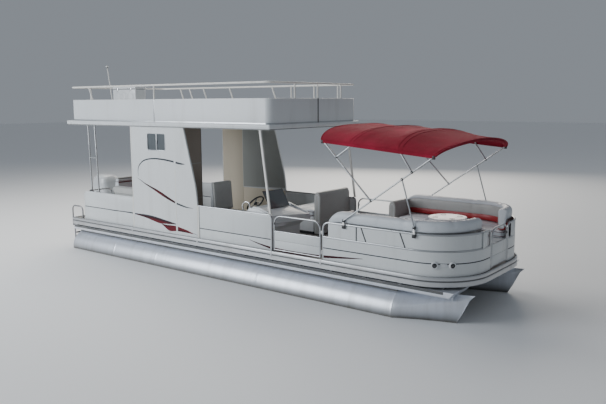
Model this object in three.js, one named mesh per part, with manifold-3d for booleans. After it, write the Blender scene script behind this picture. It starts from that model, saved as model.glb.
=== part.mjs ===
// A double-deck pontoon boat: two pontoons, a fenced deck, a cabin, a roof deck and a bow canopy.
// Lengths are in millimetres. +X is forward, +Y is port and +Z is up. Inside the boat group, z = 0
// is the deck's top and x = 0 is the aft face of the stern fence.
import * as THREE from 'three';
import { mergeVertices } from 'three/addons/utils/BufferGeometryUtils.js';
import Module from 'manifold-3d';

const wasm = await Module();
wasm.setup();

// Driving dimensions
const seat = 0.3;                 // gap between pieces that rest on each other
const deckHeight = 950;           // deck top above the pontoons' lowest line
const midShip = 3607;             // middle of the length, from the stern fence
const halfBeam = 1295;
const deckAft = -400;
const deckThick = 45;
const deckFront = 8480;
const deckCorner = 813;           // plan radius of the deck's bow corners
const fenceFace = 1253;           // outer face of the fences, from the centre line
const fenceThick = 30;
const fenceTop = 612;
const fenceFront = 8435;
const fenceCorner = 776;
const railRadius = 16;
const tubeSides = 8;
const flatOf = Math.cos(Math.PI / tubeSides);   // distance of a tube's flats over its radius
const pontoon = { y: 953, z: -620, radius: 330, aft: -450, seam: 7380, sides: 24 };
const riser = { half: 287, top: -155, bottom: -250, aft: -420, front: 8300, rake: 80, web: 254 };
const roof = { aft: -410, front: 5137, under: 1965, top: 2052, half: halfBeam };
const roofFence = { aft: -311, front: 5100, half: 1232, thick: 25, top: 2468, rail: 2736, corner: 125 };
const hatch = { aft: 300, front: 950, y0: 520, y1: 1120 };
const wall = { aft: 1610, front: 3400, thick: 30 };
const cabinWindow = { x0: 2100, x1: 2600, z0: 1530, z1: 1850, corner: 45 };
const sideGate = { x0: 5150, x1: 6096 };
const sternGate = { y0: -1198, y1: -560 };
const bowGateHalf = 300;
const gateClear = 12;
const tilt = { x: -700, z: 50 };
const steerX = -760;
const propZ = -760;
const canopyY = 1263;             // centre of the canopy frame's side tubes
const bowTube = 12.5;

const colours = {
  white: [0xdfe3e6, 0.45, 0.0],
  aluminium: [0xb9bec2, 0.38, 0.9],
  deckBoard: [0x8f8c86, 0.9, 0.0],
  darkFrame: [0x4a4d50, 0.6, 0.6],
  motorGrey: [0xb4b8bb, 0.35, 0.1],
  black: [0x1c1d1f, 0.5, 0.0],
  canopy: [0xa3192c, 0.9, 0.0],
  vinyl: [0xcfd3d8, 0.6, 0.0],
  red: [0x7c1620, 0.6, 0.0],
  glass: [0x22282c, 0.1, 0.0],
  brown: [0x3b332d, 0.7, 0.0],
  chrome: [0xd5d7d9, 0.15, 1.0],
};

// Solids and the joining and cutting of them
function bare(geometry) {
  const copy = geometry.clone();
  copy.deleteAttribute('normal');
  copy.deleteAttribute('uv');
  return mergeVertices(copy, 1e-3);
}

function solidOf(geometry) {
  const merged = bare(geometry);
  const index = merged.index.array;
  const kept = [];
  for (let i = 0; i < index.length; i += 3) {
    const [a, b, c] = [index[i], index[i + 1], index[i + 2]];
    if (a !== b && b !== c && c !== a) kept.push(a, b, c);
  }
  const vertProperties = new Float32Array(merged.attributes.position.array);
  return new wasm.Manifold(new wasm.Mesh({ numProp: 3, vertProperties, triVerts: new Uint32Array(kept) }));
}

function geometryOf(solid) {
  const mesh = solid.getMesh();
  const geometry = new THREE.BufferGeometry();
  geometry.setAttribute('position', new THREE.BufferAttribute(new Float32Array(mesh.vertProperties), 3));
  geometry.setIndex(new THREE.BufferAttribute(new Uint32Array(mesh.triVerts), 1));
  return geometry;
}

function join(...geometries) {
  return geometryOf(geometries.map(solidOf).reduce((sum, next) => sum.add(next)));
}

function cut(geometry, ...cutters) {
  return geometryOf(cutters.map(solidOf).reduce((left, next) => left.subtract(next), solidOf(geometry)));
}

function mirrored(geometry) {
  const other = bare(geometry);
  other.scale(1, -1, 1);
  const index = other.index.array;
  for (let i = 0; i < index.length; i += 3) {
    [index[i], index[i + 1]] = [index[i + 1], index[i]];
  }
  return other;
}

function box(x0, x1, y0, y1, z0, z1) {
  const geometry = new THREE.BoxGeometry(x1 - x0, y1 - y0, z1 - z0);
  return geometry.translate((x0 + x1) / 2, (y0 + y1) / 2, (z0 + z1) / 2);
}

function shapeOf(points) {
  return new THREE.Shape(points.map(([a, b]) => new THREE.Vector2(a, b)));
}

// An outline in the x-z plane, as thick as y0 to y1
function sidePlate(points, y0, y1) {
  const geometry = new THREE.ExtrudeGeometry(shapeOf(points), { depth: y1 - y0, bevelEnabled: false });
  return geometry.rotateX(Math.PI / 2).translate(0, y1, 0);
}

// An outline in plan, from z0 up to z1
function slab(points, z0, z1) {
  const geometry = new THREE.ExtrudeGeometry(shapeOf(points), { depth: z1 - z0, bevelEnabled: false });
  return geometry.translate(0, 0, z0);
}

// An outline in the y-z plane, from x0 to x1
function crossPlate(points, x0, x1) {
  const geometry = new THREE.ExtrudeGeometry(shapeOf(points), { depth: x1 - x0, bevelEnabled: false });
  const turn = new THREE.Matrix4().makeBasis(
    new THREE.Vector3(0, 1, 0), new THREE.Vector3(0, 0, 1), new THREE.Vector3(1, 0, 0));
  return geometry.applyMatrix4(turn).translate(x0, 0, 0);
}

// Rings of points, joined into one closed skin with flat ends. A folded last ring closes on itself.
function loft(rings, folded = false) {
  const sides = rings[0].length;
  const positions = rings.flat().flatMap((p) => [p.x, p.y, p.z]);
  const index = [];
  for (let r = 0; r + 1 < rings.length; r += 1) {
    for (let k = 0; k < sides; k += 1) {
      const a = r * sides + k;
      const b = r * sides + (k + 1) % sides;
      index.push(a, b, b + sides, a, b + sides, a + sides);
    }
  }
  const last = (rings.length - 1) * sides;
  for (let k = 1; k + 1 < sides; k += 1) {
    index.push(0, k + 1, k);
    if (!folded) index.push(last, last + k, last + k + 1);
  }
  const geometry = new THREE.BufferGeometry();
  geometry.setAttribute('position', new THREE.BufferAttribute(new Float32Array(positions), 3));
  geometry.setIndex(index);
  return geometry;
}

// A route with its sharp corners rounded
function rounded(points, radius, steps = 4) {
  const route = points.map((p) => new THREE.Vector3(...p));
  const out = [route[0]];
  for (let i = 1; i + 1 < route.length; i += 1) {
    const into = route[i].clone().sub(route[i - 1]).normalize();
    const away = route[i + 1].clone().sub(route[i]).normalize();
    const turn = into.angleTo(away);
    if (turn < 0.5) {
      out.push(route[i]);
      continue;
    }
    const start = route[i].clone().addScaledVector(into, -radius * Math.tan(turn / 2));
    const axis = into.clone().cross(away).normalize();
    const inward = axis.clone().cross(into).normalize();
    const centre = start.clone().addScaledVector(inward, radius);
    for (let k = 0; k <= steps; k += 1) {
      out.push(start.clone().sub(centre).applyAxisAngle(axis, turn * k / steps).add(centre));
    }
  }
  out.push(route[route.length - 1]);
  return out;
}

// A round tube along a route, mitred at each point of it
function tube(route, radius, sides = tubeSides) {
  const points = route.map((p) => (p.isVector3 ? p : new THREE.Vector3(...p)));
  const heading = (i) => points[i + 1].clone().sub(points[i]).normalize();
  let along = heading(0);
  let u = Math.abs(along.z) > 0.9 ? new THREE.Vector3(1, 0, 0) : new THREE.Vector3(0, 0, 1);
  u.addScaledVector(along, -u.dot(along)).normalize();
  const rings = [];
  for (let i = 0; i < points.length; i += 1) {
    const next = i + 1 < points.length ? heading(i) : along;
    const mitre = along.clone().add(next).normalize();
    const v = along.clone().cross(u);
    const ring = [];
    for (let k = 0; k < sides; k += 1) {
      const angle = 2 * Math.PI * (k + 0.5) / sides;
      const offset = u.clone().multiplyScalar(radius * Math.cos(angle));
      offset.addScaledVector(v, radius * Math.sin(angle));
      offset.addScaledVector(along, -offset.dot(mitre) / along.dot(mitre));
      ring.push(offset.add(points[i]));
    }
    rings.push(ring);
    u.applyQuaternion(new THREE.Quaternion().setFromUnitVectors(along, next));
    along = next;
  }
  return loft(rings);
}

function cylinder(centre, axis, radius, length, sides = 16) {
  const geometry = new THREE.CylinderGeometry(radius, radius, length, sides);
  const turn = new THREE.Quaternion().setFromUnitVectors(new THREE.Vector3(0, 1, 0), axis.clone().normalize());
  return geometry.applyQuaternion(turn).translate(...centre);
}

const alongX = new THREE.Vector3(1, 0, 0);
const alongY = new THREE.Vector3(0, 1, 0);
const alongZ = new THREE.Vector3(0, 0, 1);

const boat = new THREE.Group();
boat.position.set(-midShip, 0, deckHeight);

function place(name, colour, geometry, parent = boat) {
  const [color, roughness, metalness] = colours[colour];
  const mesh = new THREE.Mesh(geometry, new THREE.MeshStandardMaterial({ color, roughness, metalness }));
  mesh.name = name;
  parent.add(mesh);
  return mesh;
}

function placeBoth(name, colour, starboard) {
  place(`${name}_starboard`, colour, starboard);
  place(`${name}_port`, colour, mirrored(starboard));
}

// Starboard half of a plan line that follows the bow: straight side, round corner, straight front
function bowLine(half, front, corner, xStart, yEnd, steps = 8) {
  const line = [[xStart, -half]];
  for (let k = 0; k <= steps; k += 1) {
    const angle = (Math.PI / 2) * (k / steps);
    line.push([front - corner + corner * Math.sin(angle), -half + corner - corner * Math.cos(angle)]);
  }
  line.push([front, -yEnd]);
  return line;
}

// The same line moved in from the fence's outer face
function fenceLine(inset, xStart, yEnd, steps = 8) {
  return bowLine(fenceFace - inset, fenceFront - inset, fenceCorner - inset, xStart, yEnd, steps);
}

function band(outer, inner, z0, z1) {
  return slab([...outer, ...inner.slice().reverse()], z0, z1);
}

// Hull
// Where each line of the tube's skin ends on the stem: angle from the top in degrees, x, z
const stemLine = [
  [0, 8484, -220],
  [75, 8414, -285],
  [90, 8304, -520],
  [120, 8205, -684],
  [150, 8040, -830],
  [180, 7800, -925],
];

function stemPoint(angle) {
  const i = Math.min(stemLine.findIndex(([limit]) => angle <= limit + 1e-6), stemLine.length - 1);
  const [a1, x1, z1] = stemLine[Math.max(i, 1)];
  const [a0, x0, z0] = stemLine[Math.max(i, 1) - 1];
  const t = (angle - a0) / (a1 - a0);
  return new THREE.Vector3(x0 + t * (x1 - x0), 0, z0 + t * (z1 - z0));
}

function pontoonTube() {
  const { z, radius, aft, seam, sides } = pontoon;
  const chamfer = 20;
  const around = [...Array(sides).keys()].map((k) => 2 * Math.PI * k / sides);
  const circle = (x, r) => around.map((a) => new THREE.Vector3(x, -r * Math.sin(a), z + r * Math.cos(a)));
  const stem = around.map((a) => stemPoint(THREE.MathUtils.radToDeg(Math.min(a, 2 * Math.PI - a))));
  return loft([circle(aft, radius - chamfer), circle(aft + chamfer, radius), circle(seam, radius), stem], true);
}

// The channel welded along the top of each pontoon, which the deck frame stands on
function riserChannel() {
  const { half, top, bottom, aft, front, rake, web } = riser;
  const round = 28;
  const half2 = half - round;
  const outline = [[-half, top], [-half, bottom + round], [-half2, bottom], [half2, bottom],
    [half, bottom + round], [half, top]];
  const channel = join(crossPlate(outline, aft, front), box(aft, pontoon.seam, -web / 2, web / 2, -340, bottom));
  const rakeCut = [[front - rake, bottom - 10], [front + 20, bottom - 10], [front + 20, top + 10], [front, top]];
  return cut(channel, sidePlate(rakeCut, -half - 10, half + 10));
}

const hullStarboard = join(pontoonTube(), riserChannel()).translate(0, -pontoon.y, 0);
placeBoth('pontoon', 'aluminium', hullStarboard);

function deckPlan(inset) {
  const half = bowLine(halfBeam - inset, deckFront - inset, deckCorner - inset, deckAft + inset, 100);
  return [...half, ...half.map(([x, y]) => [x, -y]).reverse()];
}

function deckFrame() {
  const pitch = 600;
  const flange = 40;
  const parts = [-1000, 1000].map((y) => box(-370, 8100, y - flange / 2, y + flange / 2, riser.top, -deckThick));
  for (let x = -340; x < 8200; x += pitch) {
    const past = Math.max(0, x + flange - (deckFront - deckCorner));
    const reach = halfBeam - deckCorner + Math.sqrt(deckCorner ** 2 - past ** 2) - 60;
    parts.push(box(x, x + flange, -reach, reach, riser.top, -deckThick));
  }
  return join(...parts);
}

place('deck_frame', 'darkFrame', deckFrame());
const rubDepth = 25;
place('deck', 'deckBoard', slab(deckPlan(rubDepth + seat), -deckThick, 0));
place('rub_rail', 'aluminium', cut(slab(deckPlan(0), -120, 20), slab(deckPlan(rubDepth), -130, 30)));

const podHalf = 330;
const transom = { aft: -620, front: -570, half: 280, top: 65, bottom: -560 };
const podSide = [[transom.front - 1, transom.bottom], [450, transom.bottom], [900, riser.top],
  [transom.front - 1, riser.top]];
const gusset = [[transom.front - 1, 60], [transom.front - 1, riser.top - 5], [-415, riser.top - 5],
  [-415, riser.top]];
place('motor_pod', 'aluminium', join(
  sidePlate(podSide, -podHalf, podHalf),
  box(transom.aft, transom.front, -transom.half, transom.half, transom.bottom, transom.top),
  sidePlate(gusset, -265, -240),
  sidePlate(gusset, 240, 265),
));

// Outboard motor
function clampBracket() {
  const inside = transom.front + seat;
  const cheek = [[-645, 95], [-735, 95], [-745, 20], [-690, -120], [-645, -250]];
  return join(
    box(-660, transom.aft, -130, 130, -260, 95),
    box(-650, inside + 25, -100, 100, transom.top + seat, 95),
    box(inside, inside + 25, -100, 100, -40, 95),
    sidePlate(cheek, -130, -105),
    sidePlate(cheek, 105, 130),
  );
}

function swivelBracket() {
  const hub = 105 - seat;
  return join(
    cylinder([tilt.x, 0, tilt.z], alongY, 33, 2 * hub),
    box(steerX, tilt.x, -60, 60, 20, 80),
    cylinder([steerX, 0, -145], alongZ, 42, 470),
  );
}

function motorLeg() {
  const midSection = [[-830, 200], [-830, -430], [-850, -580], [-1010, -580], [-1000, 0], [-1060, 200]];
  const strut = [[-850, -578], [-1010, -578], [-1025, -740], [-835, -740]];
  const skeg = [[-860, -780], [-1030, -780], [-1060, -925], [-985, -925]];
  const bullet = [[0, -765], [30, -785], [48, -830], [48, -1060], [36, -1095], [0, -1095]];
  const torpedo = new THREE.LatheGeometry(bullet.map(([r, x]) => new THREE.Vector2(r, x)).reverse(), 12);
  return join(
    box(-835, -728, -30, 30, 90 + seat, 150),
    box(-835, -735, -30, 30, -430, -380 - seat),
    sidePlate(midSection, -52, 52),
    box(-1180, -725, -95, 95, 185, 220 - seat),
    box(-1240, -835, -90, 90, -590, -576),
    sidePlate(strut, -22, 22),
    sidePlate(skeg, -8, 8),
    torpedo.rotateZ(-Math.PI / 2).translate(0, 0, propZ),
  );
}

function motorCowl() {
  const round = 45;
  const outline = [[-1225, 330], [-1170, 265], [-760, 265], [-735, 300], [-745, 650], [-800, 745], [-920, 765],
    [-1140, 715], [-1205, 620]];
  const geometry = new THREE.ExtrudeGeometry(shapeOf(outline), {
    depth: 290, bevelEnabled: true, bevelThickness: round, bevelSize: round, bevelSegments: 2 });
  return geometry.rotateX(Math.PI / 2).translate(0, 145, 0);
}

function propeller() {
  const blade = new THREE.Shape();
  blade.moveTo(-26, 20);
  blade.quadraticCurveTo(-62, 110, -30, 150);
  blade.quadraticCurveTo(5, 172, 38, 140);
  blade.quadraticCurveTo(58, 90, 26, 20);
  const blades = [0, 1, 2].map((n) => {
    const plate = new THREE.ExtrudeGeometry(blade, { depth: 8, bevelEnabled: false, curveSegments: 4 });
    plate.translate(0, 0, -4).rotateY(THREE.MathUtils.degToRad(62));
    return plate.rotateX(2 * Math.PI * n / 3);
  });
  const hub = cylinder([0, 0, 0], alongX, 38, 125, 12);
  return join(hub, ...blades).translate(-1095.5 - 62.5, 0, propZ);
}

place('motor_clamp', 'black', clampBracket());
place('motor_swivel', 'black', swivelBracket());
place('motor_leg', 'motorGrey', motorLeg());
place('motor_cowl', 'motorGrey', motorCowl());
place('propeller', 'darkFrame', propeller());

// Boarding ladder at the starboard end of the stern platform
const boarding = { x: -480, y0: -1215, y1: -865, foot: -120, top: 270, hinge: -150, bottom: -895, tube: 15 };

function boardingHoops() {
  const { x, y0, y1, foot, top, hinge, tube: r } = boarding;
  const hoops = [y0, y1].map((y) => tube(
    rounded([[foot, y, 0], [foot, y, top - r], [x, y, top - r], [x, y, hinge - 25]], 90), r));
  return join(...hoops, tube([[x, y0, -50], [x, y1, -50]], 12));
}

function boardingSteps() {
  const { x, y0, y1, hinge, bottom, tube: r } = boarding;
  const inset = 34;
  const rails = [y0 + inset, y1 - inset].map((y) => tube([[x, y, hinge], [x, y, bottom]], r));
  const rungs = [-340, -530, -720, bottom + 20].map((z) => tube([[x, y0 + inset, z], [x, y1 - inset, z]], r));
  const reach = r * flatOf + seat;
  const pivot = tube([[x, y0 + reach, hinge], [x, y1 - reach, hinge]], r);
  return join(...rails, ...rungs, pivot);
}

place('boarding_hoops', 'chrome', boardingHoops());
place('boarding_steps', 'chrome', boardingSteps());

// Fences and gates
const railInset = railRadius;
const railZ = fenceTop - railRadius;
const panelIn = 3;
const panelOut = 27;
const midRailZ = 370;

// A fence that stands along x on the starboard side, with its rail bent down at an end that has a bend radius
function sideFence(x0, x1, bendAft, bendFore) {
  const y = -(fenceFace - railInset);
  const [in0, in1] = [x0 + railRadius, x1 - railRadius];
  const route = [[x0, y, railZ], [x1, y, railZ]];
  if (bendAft) route.splice(0, 1, [in0, y, 0], [in0, y, railZ]);
  if (bendFore) route.splice(-1, 1, [in1, y, railZ], [in1, y, 0]);
  const aft = bendAft ? [[in0, 0], [in0, railZ - bendAft], [in0 + bendAft, railZ]] : [[x0, 0], [x0, railZ]];
  const fore = bendFore ? [[in1 - bendFore, railZ], [in1, railZ - bendFore], [in1, 0]] : [[x1, railZ], [x1, 0]];
  const panel = sidePlate([...aft, ...fore], -(fenceFace - panelIn), -(fenceFace - panelOut));
  return join(panel, tube(rounded(route, Math.max(bendAft, bendFore)), railRadius));
}

const fenceBowAft = sideGate.x1 + 2 * gateClear;
placeBoth('fence_aft', 'white', sideFence(0, wall.aft, 104, 0));
const helmFenceFore = 5120;
place('fence_helm_starboard', 'white', sideFence(wall.front, helmFenceFore, 0, 64));

function bowFence() {
  const x0 = fenceBowAft;
  const yEnd = bowGateHalf + gateClear;
  const start = x0 + railRadius;
  const line = fenceLine(railInset, start, yEnd + railRadius);
  const points = line.map(([x, y]) => [x, y, railZ]);
  const [lastX, lastY] = line[line.length - 1];
  const route = [[start, line[0][1], 0], ...points, [lastX, lastY, 0]];
  const band1 = band(fenceLine(panelIn, start, yEnd + 2), fenceLine(panelOut, start, yEnd + 2), 0, midRailZ);
  const upperEnd = yEnd + 120;
  const upperStart = start + 104;
  const band2 = band(fenceLine(10, upperStart, upperEnd), fenceLine(22, upperStart, upperEnd), midRailZ - 1, railZ);
  const midRail = tube(fenceLine(railInset, start, yEnd + railRadius).map(([x, y]) => [x, y, midRailZ]), 14);
  return join(band1, band2, midRail, tube(rounded(route, 104), railRadius));
}

// Docking lights round the starboard bow corner, by the step of the corner that each sits on
const lampSteps = [2.2, 3.8];
const lampZ = 180;

function dockingLight(step) {
  const angle = (Math.PI / 2) * (step / 8);
  const out = new THREE.Vector3(Math.sin(angle), -Math.cos(angle), 0);
  const centre = new THREE.Vector3(fenceFront - fenceCorner, -fenceFace + fenceCorner, lampZ);
  centre.addScaledVector(out, fenceCorner + 5);
  return cylinder(centre.toArray(), out, 40, 50, 20);
}

place('fence_bow_starboard', 'white', join(bowFence(), ...lampSteps.map(dockingLight)));

// The two port fences stand on one sill, which runs under the gate between them
const sill = box(helmFenceFore - railRadius, fenceBowAft + railRadius, -(fenceFace - 8), -(fenceFace - 24), 0, 12);
place('fence_port', 'white', mirrored(join(sideFence(wall.front, helmFenceFore, 0, 64), bowFence(), sill)));

function sternFence() {
  const y0 = sternGate.y1 + 2 * gateClear;
  const y1 = fenceFace - panelOut - seat - 4;
  const panel = box(panelIn, panelOut, y0 + railRadius, y1, 0, railZ);
  const start = y0 + railRadius;
  return join(panel, tube(rounded([[railInset, start, 0], [railInset, start, railZ], [railInset, y1, railZ]], 40),
    railRadius));
}

place('fence_stern', 'white', sternFence());

// A gate in its own frame: hinge axis at the origin, leaf along +x, from its hoop, sill, rail and panel
function gateLeaf(width, railHeights, panelTop, corner) {
  const r = 14;
  const x0 = gateClear + r;
  const x1 = width - r;
  const hoop = tube(rounded([[x0, 0, 30], [x0, 0, fenceTop - r], [x1, 0, fenceTop - r], [x1, 0, 30]], corner), r);
  const bars = [30 + r, ...railHeights].map((z) => tube([[x0, 0, z], [x1, 0, z]], 12));
  const knuckles = [120, 430].flatMap((z) => [
    cylinder([0, 0, z], alongZ, gateClear + railRadius * (1 - flatOf) - seat, 60, 8),
    box(0, x0, -5, 5, z - 25, z + 25),
  ]);
  return join(hoop, ...bars, box(x0, x1, -8, 8, 30 + r, panelTop), ...knuckles);
}

function placeGate(name, leaf, x, y, turn) {
  const hinge = new THREE.Group();
  hinge.position.set(x, y, 0);
  hinge.rotation.z = turn;
  boat.add(hinge);
  place(name, 'white', leaf, hinge);
}

const sideHingeX = sideGate.x1 + gateClear;
const sideLeaf = () => gateLeaf(sideHingeX - sideGate.x0, [345], 345, 130);
placeGate('gate_side', sideLeaf(), sideHingeX, -(fenceFace - railInset), Math.PI);
placeGate('gate_port', sideLeaf(), sideHingeX, fenceFace - railInset, Math.PI);
placeGate('gate_bow', gateLeaf(2 * bowGateHalf, [midRailZ], midRailZ, 130),
  fenceFront - railInset, -bowGateHalf, Math.PI / 2);
const sternWidth = sternGate.y1 + gateClear - sternGate.y0;
placeGate('gate_stern', gateLeaf(sternWidth, [345], 345, 100),
  railInset, sternGate.y1 + gateClear, -Math.PI / 2);

// Cabin
const frontEdge = new THREE.SplineCurve([[3400, 600], [3350, 966], [3200, 1525], [3082, roof.under]]
  .map(([x, z]) => new THREE.Vector2(x, z)));

function roundedRect(x0, x1, z0, z1, r) {
  const shape = new THREE.Shape();
  shape.absarc(x1 - r, z1 - r, r, 0, Math.PI / 2);
  shape.absarc(x0 + r, z1 - r, r, Math.PI / 2, Math.PI);
  shape.absarc(x0 + r, z0 + r, r, Math.PI, 1.5 * Math.PI);
  shape.absarc(x1 - r, z0 + r, r, 1.5 * Math.PI, 2 * Math.PI);
  return shape.getPoints(4).map((p) => [p.x, p.y]);
}

function cabinWall() {
  const edge = frontEdge.getPoints(6).map((p) => [p.x, p.y]);
  const outline = [[wall.aft + seat, 0], [wall.front - seat, 0], ...edge.map(([x, z]) => [x - seat, z]),
    [wall.aft + seat, roof.under]];
  const plate = sidePlate(outline, -fenceFace, -fenceFace + wall.thick);
  const { x0, x1, z0, z1, corner } = cabinWindow;
  return cut(plate, sidePlate(roundedRect(x0, x1, z0, z1, corner), -fenceFace - 5, -fenceFace + wall.thick + 5));
}

function cabinPane() {
  const { x0, x1, z0, z1, corner } = cabinWindow;
  const outline = roundedRect(x0 + seat, x1 - seat, z0 + seat, z1 - seat, corner - seat);
  return sidePlate(outline, -fenceFace + 10, -fenceFace + 18);
}

placeBoth('cabin_wall', 'white', cabinWall());
placeBoth('cabin_window', 'glass', cabinPane());

const head = { aft: 1610.3, front: 2830, inner: -575, thick: 25, doorX0: 2000, doorX1: 2604, doorTop: 1880 };

function headCompartment() {
  const outer = -fenceFace + wall.thick + seat;
  const { aft, front, inner, thick, doorX0, doorX1, doorTop } = head;
  const inboard = cut(box(aft, front, inner - thick, inner, 0, roof.under),
    box(doorX0, doorX1, inner - thick - 5, inner + 5, 20, doorTop));
  return join(
    box(aft, aft + thick, outer, inner, 0, roof.under),
    box(front - thick, front, outer, inner, 0, roof.under),
    inboard,
    box(doorX1 + seat, doorX1 + 20, inner - 2, inner + 15, 300, 1700),
  );
}

// The door in its own frame: hinge axis at the origin, leaf along -x
function headDoor() {
  const { doorX0, doorX1, thick, doorTop } = head;
  const width = doorX1 - doorX0;
  const leaf = box(-width + 12, -6, -9 - thick + 2, -9 - 1, 28, doorTop - 8);
  const knuckles = [400, 1500].flatMap((z) => [
    cylinder([0, 0, z], alongZ, 6, 80, 8),
    box(-30, -1, -12, -4, z - 35, z + 35),
  ]);
  return join(leaf, ...knuckles);
}

place('head_compartment', 'brown', headCompartment());
const headHinge = new THREE.Group();
headHinge.position.set(head.doorX1 - 6, head.inner + 9, 0);
boat.add(headHinge);
place('head_door', 'brown', headDoor(), headHinge);

// Posts that carry the roof: foot x, head x, width along x
const forwardPost = [[5060, 4862, 42]];
const aftPosts = [[270, 232, 28], [500, 452, 28]];

function leaningPosts(posts, barZ) {
  const y0 = -(fenceFace - 2);
  const y1 = y0 + 28;
  const bars = posts.map(([foot, top, width]) => sidePlate(
    [[foot, fenceTop + seat], [foot + width, fenceTop + seat], [top + width, roof.under], [top, roof.under]], y0, y1));
  if (barZ) bars.push(box(posts[0][1] + 30, posts[1][1] + 30, y0 + 6, y1 - 6, barZ - 12, barZ + 12));
  return join(...bars);
}

placeBoth('post_forward', 'white', leaningPosts(forwardPost));
placeBoth('post_aft', 'white', leaningPosts(aftPosts, 1310));

// Roof deck
place('roof_deck', 'white', cut(
  box(roof.aft, roof.front, -roof.half, roof.half, roof.under, roof.top),
  box(hatch.aft, hatch.front, hatch.y0, hatch.y1, roof.under - 5, roof.top + 5),
));

const hatchHingeX = hatch.front + 30;
const hatchHingeRise = 14;
const knuckleRadius = 13.4;

function hatchLid() {
  const thick = 26;
  const lap = 20;
  const under = seat - hatchHingeRise;
  const lid = box(hatch.aft - lap - hatchHingeX, -10, hatch.y0 - lap, hatch.y1 + lap, under, under + thick);
  const knuckles = [hatch.y0 + 60, hatch.y1 - 60].flatMap((y) => [
    cylinder([0, y, 0], alongY, knuckleRadius, 60, 12),
    box(-20, 0, y - 25, y + 25, -8, 8),
  ]);
  return join(lid, ...knuckles);
}

const hatchHinge = new THREE.Group();
hatchHinge.position.set(hatchHingeX, 0, roof.top + hatchHingeRise);
boat.add(hatchHinge);
place('roof_hatch_lid', 'white', hatchLid(), hatchHinge);

const { aft: rfAft, front: rfFront, half: rfHalf, thick: rfThick, corner: rfCorner } = roofFence;

function roofPlan(inset) {
  const corners = [[rfFront, 1, 1], [rfAft, -1, 1], [rfAft, -1, -1], [rfFront, 1, -1]];
  const r = rfCorner - inset;
  return corners.flatMap(([x, fore, port], quarter) => [...Array(5).keys()].map((k) => {
    const a = (Math.PI / 2) * (quarter + k / 4);
    return [x - fore * rfCorner + r * Math.cos(a), port * (rfHalf - rfCorner) + r * Math.sin(a)];
  }));
}

place('roof_panels', 'white', cut(slab(roofPlan(0), roof.top, roofFence.top),
  slab(roofPlan(rfThick), roof.top - 5, roofFence.top + 5)));

// Posts between panel and rail: side, place along that side, lean of the foot along it
const roofPosts = [
  ['starboard', 320, 100], ['starboard', 2300, 0],
  ['port', 300, 100], ['port', 600, 100], ['port', 1050, 100], ['port', 1850, 100], ['port', 3050, 100],
  ['port', 3560, 0], ['port', 4130, 0], ['port', 4690, 0],
  ['forward', -590, 0], ['forward', 40, 0], ['forward', 740, 0],
  ['aft', -750, 0], ['aft', 640, 0],
];

function roofRail() {
  const r = 16;
  const postRadius = 14;
  const z = roofFence.rail - r;
  const half = 1225;
  const x0 = rfAft + 7;
  const x1 = rfFront - 7;
  const halfLoop = (xa, xb) => tube(rounded(
    [[xa, -half, z], [xb, -half, z], [xb, half, z], [xa, half, z]], rfCorner - 7), r);
  const middle = 2000;
  const loop = join(halfLoop(middle - 1, x1), halfLoop(middle + 1, x0));
  const line = 1219.5;
  const spot = {
    starboard: (s) => [s, -line],
    port: (s) => [s, line],
    forward: (s) => [rfFront - rfThick / 2, s],
    aft: (s) => [rfAft + rfThick / 2, s],
  };
  const posts = roofPosts.map(([side, along, lean]) => {
    const [xf, yf] = spot[side](along + lean);
    const [xt, yt] = spot[side](along);
    return tube([[xf, yf, roofFence.top], [xf, yf, roofFence.top + 12], [xt, yt, z]], postRadius);
  });
  return join(loop, ...posts);
}

place('roof_rail', 'aluminium', roofRail());

const lightPole = { y: -1197.5, footX: 1099, topX: 918, top: 3095, r: 9 };
place('light_pole', 'aluminium', join(
  tube([[lightPole.footX, lightPole.y, roof.top], [lightPole.footX, lightPole.y, roof.top + 20],
    [lightPole.topX, lightPole.y, lightPole.top]], lightPole.r),
  new THREE.SphereGeometry(24, 12, 8).translate(lightPole.topX, lightPole.y, lightPole.top + 10),
));

const locker = { x0: 240, x1: 990, y0: -600, y1: -330, top: 2736 };
place('roof_locker', 'white', box(locker.x0, locker.x1, locker.y0, locker.y1, roof.top, locker.top));

// Ladder from the deck to the roof hatch
const ladder = { footX: 720, topX: 330, top: 2030, y0: 580, y1: 1040, tube: 16, rungs: 7 };
function roofLadder() {
  const { footX, topX, top, y0, y1, tube: r, rungs } = ladder;
  const at = (t) => [footX + t * (topX - footX), t * top];
  const rails = [y0, y1].map((y) => tube([[footX, y, 0], [footX, y, 20], [topX, y, top]], r));
  const steps = [...Array(rungs).keys()].map((n) => {
    const [x, z] = at((n + 1) / (rungs + 0.6));
    return box(x - 30, x + 30, y0, y1, z - 12, z + 12);
  });
  const hook = box(hatch.aft + seat, topX + 10, y0, y1, top - 30, top - 8);
  return join(...rails, ...steps, hook);
}
place('roof_ladder', 'aluminium', roofLadder());

// Bow canopy
// Ends of the canopy's side hems, and its crown along the length: share of the length, x, height
const canopyHem = { aftX: 6140, aftZ: 1815, foreX: 7930, foreZ: 1655 };
const crownLine = [[0, 6010, 2050], [0.27, 6700, 2030], [0.68, 7300, 2005], [1, 8110, 1815]];
const fabric = 6;

function along(table, s) {
  const i = Math.max(1, table.findIndex(([t]) => s <= t + 1e-9));
  const [t0, x0, z0] = table[i - 1];
  const [t1, x1, z1] = table[i];
  const t = (s - t0) / (t1 - t0);
  return [x0 + t * (x1 - x0), z0 + t * (z1 - z0)];
}

// A point of the canopy: s from aft to front, t from starboard to port
function canopyPoint(s, t, drop = 0) {
  const hemX = canopyHem.aftX + s * (canopyHem.foreX - canopyHem.aftX);
  const hemZ = canopyHem.aftZ + s * (canopyHem.foreZ - canopyHem.aftZ);
  const [crownX, crownZ] = along(crownLine, s);
  const rise = (1 - Math.abs(t) ** 3.2) ** 0.62;
  const half = canopyY + bowTube + fabric - drop;
  return new THREE.Vector3(hemX + rise * (crownX - hemX), t * half, hemZ + rise * (crownZ - drop - hemZ));
}

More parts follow.
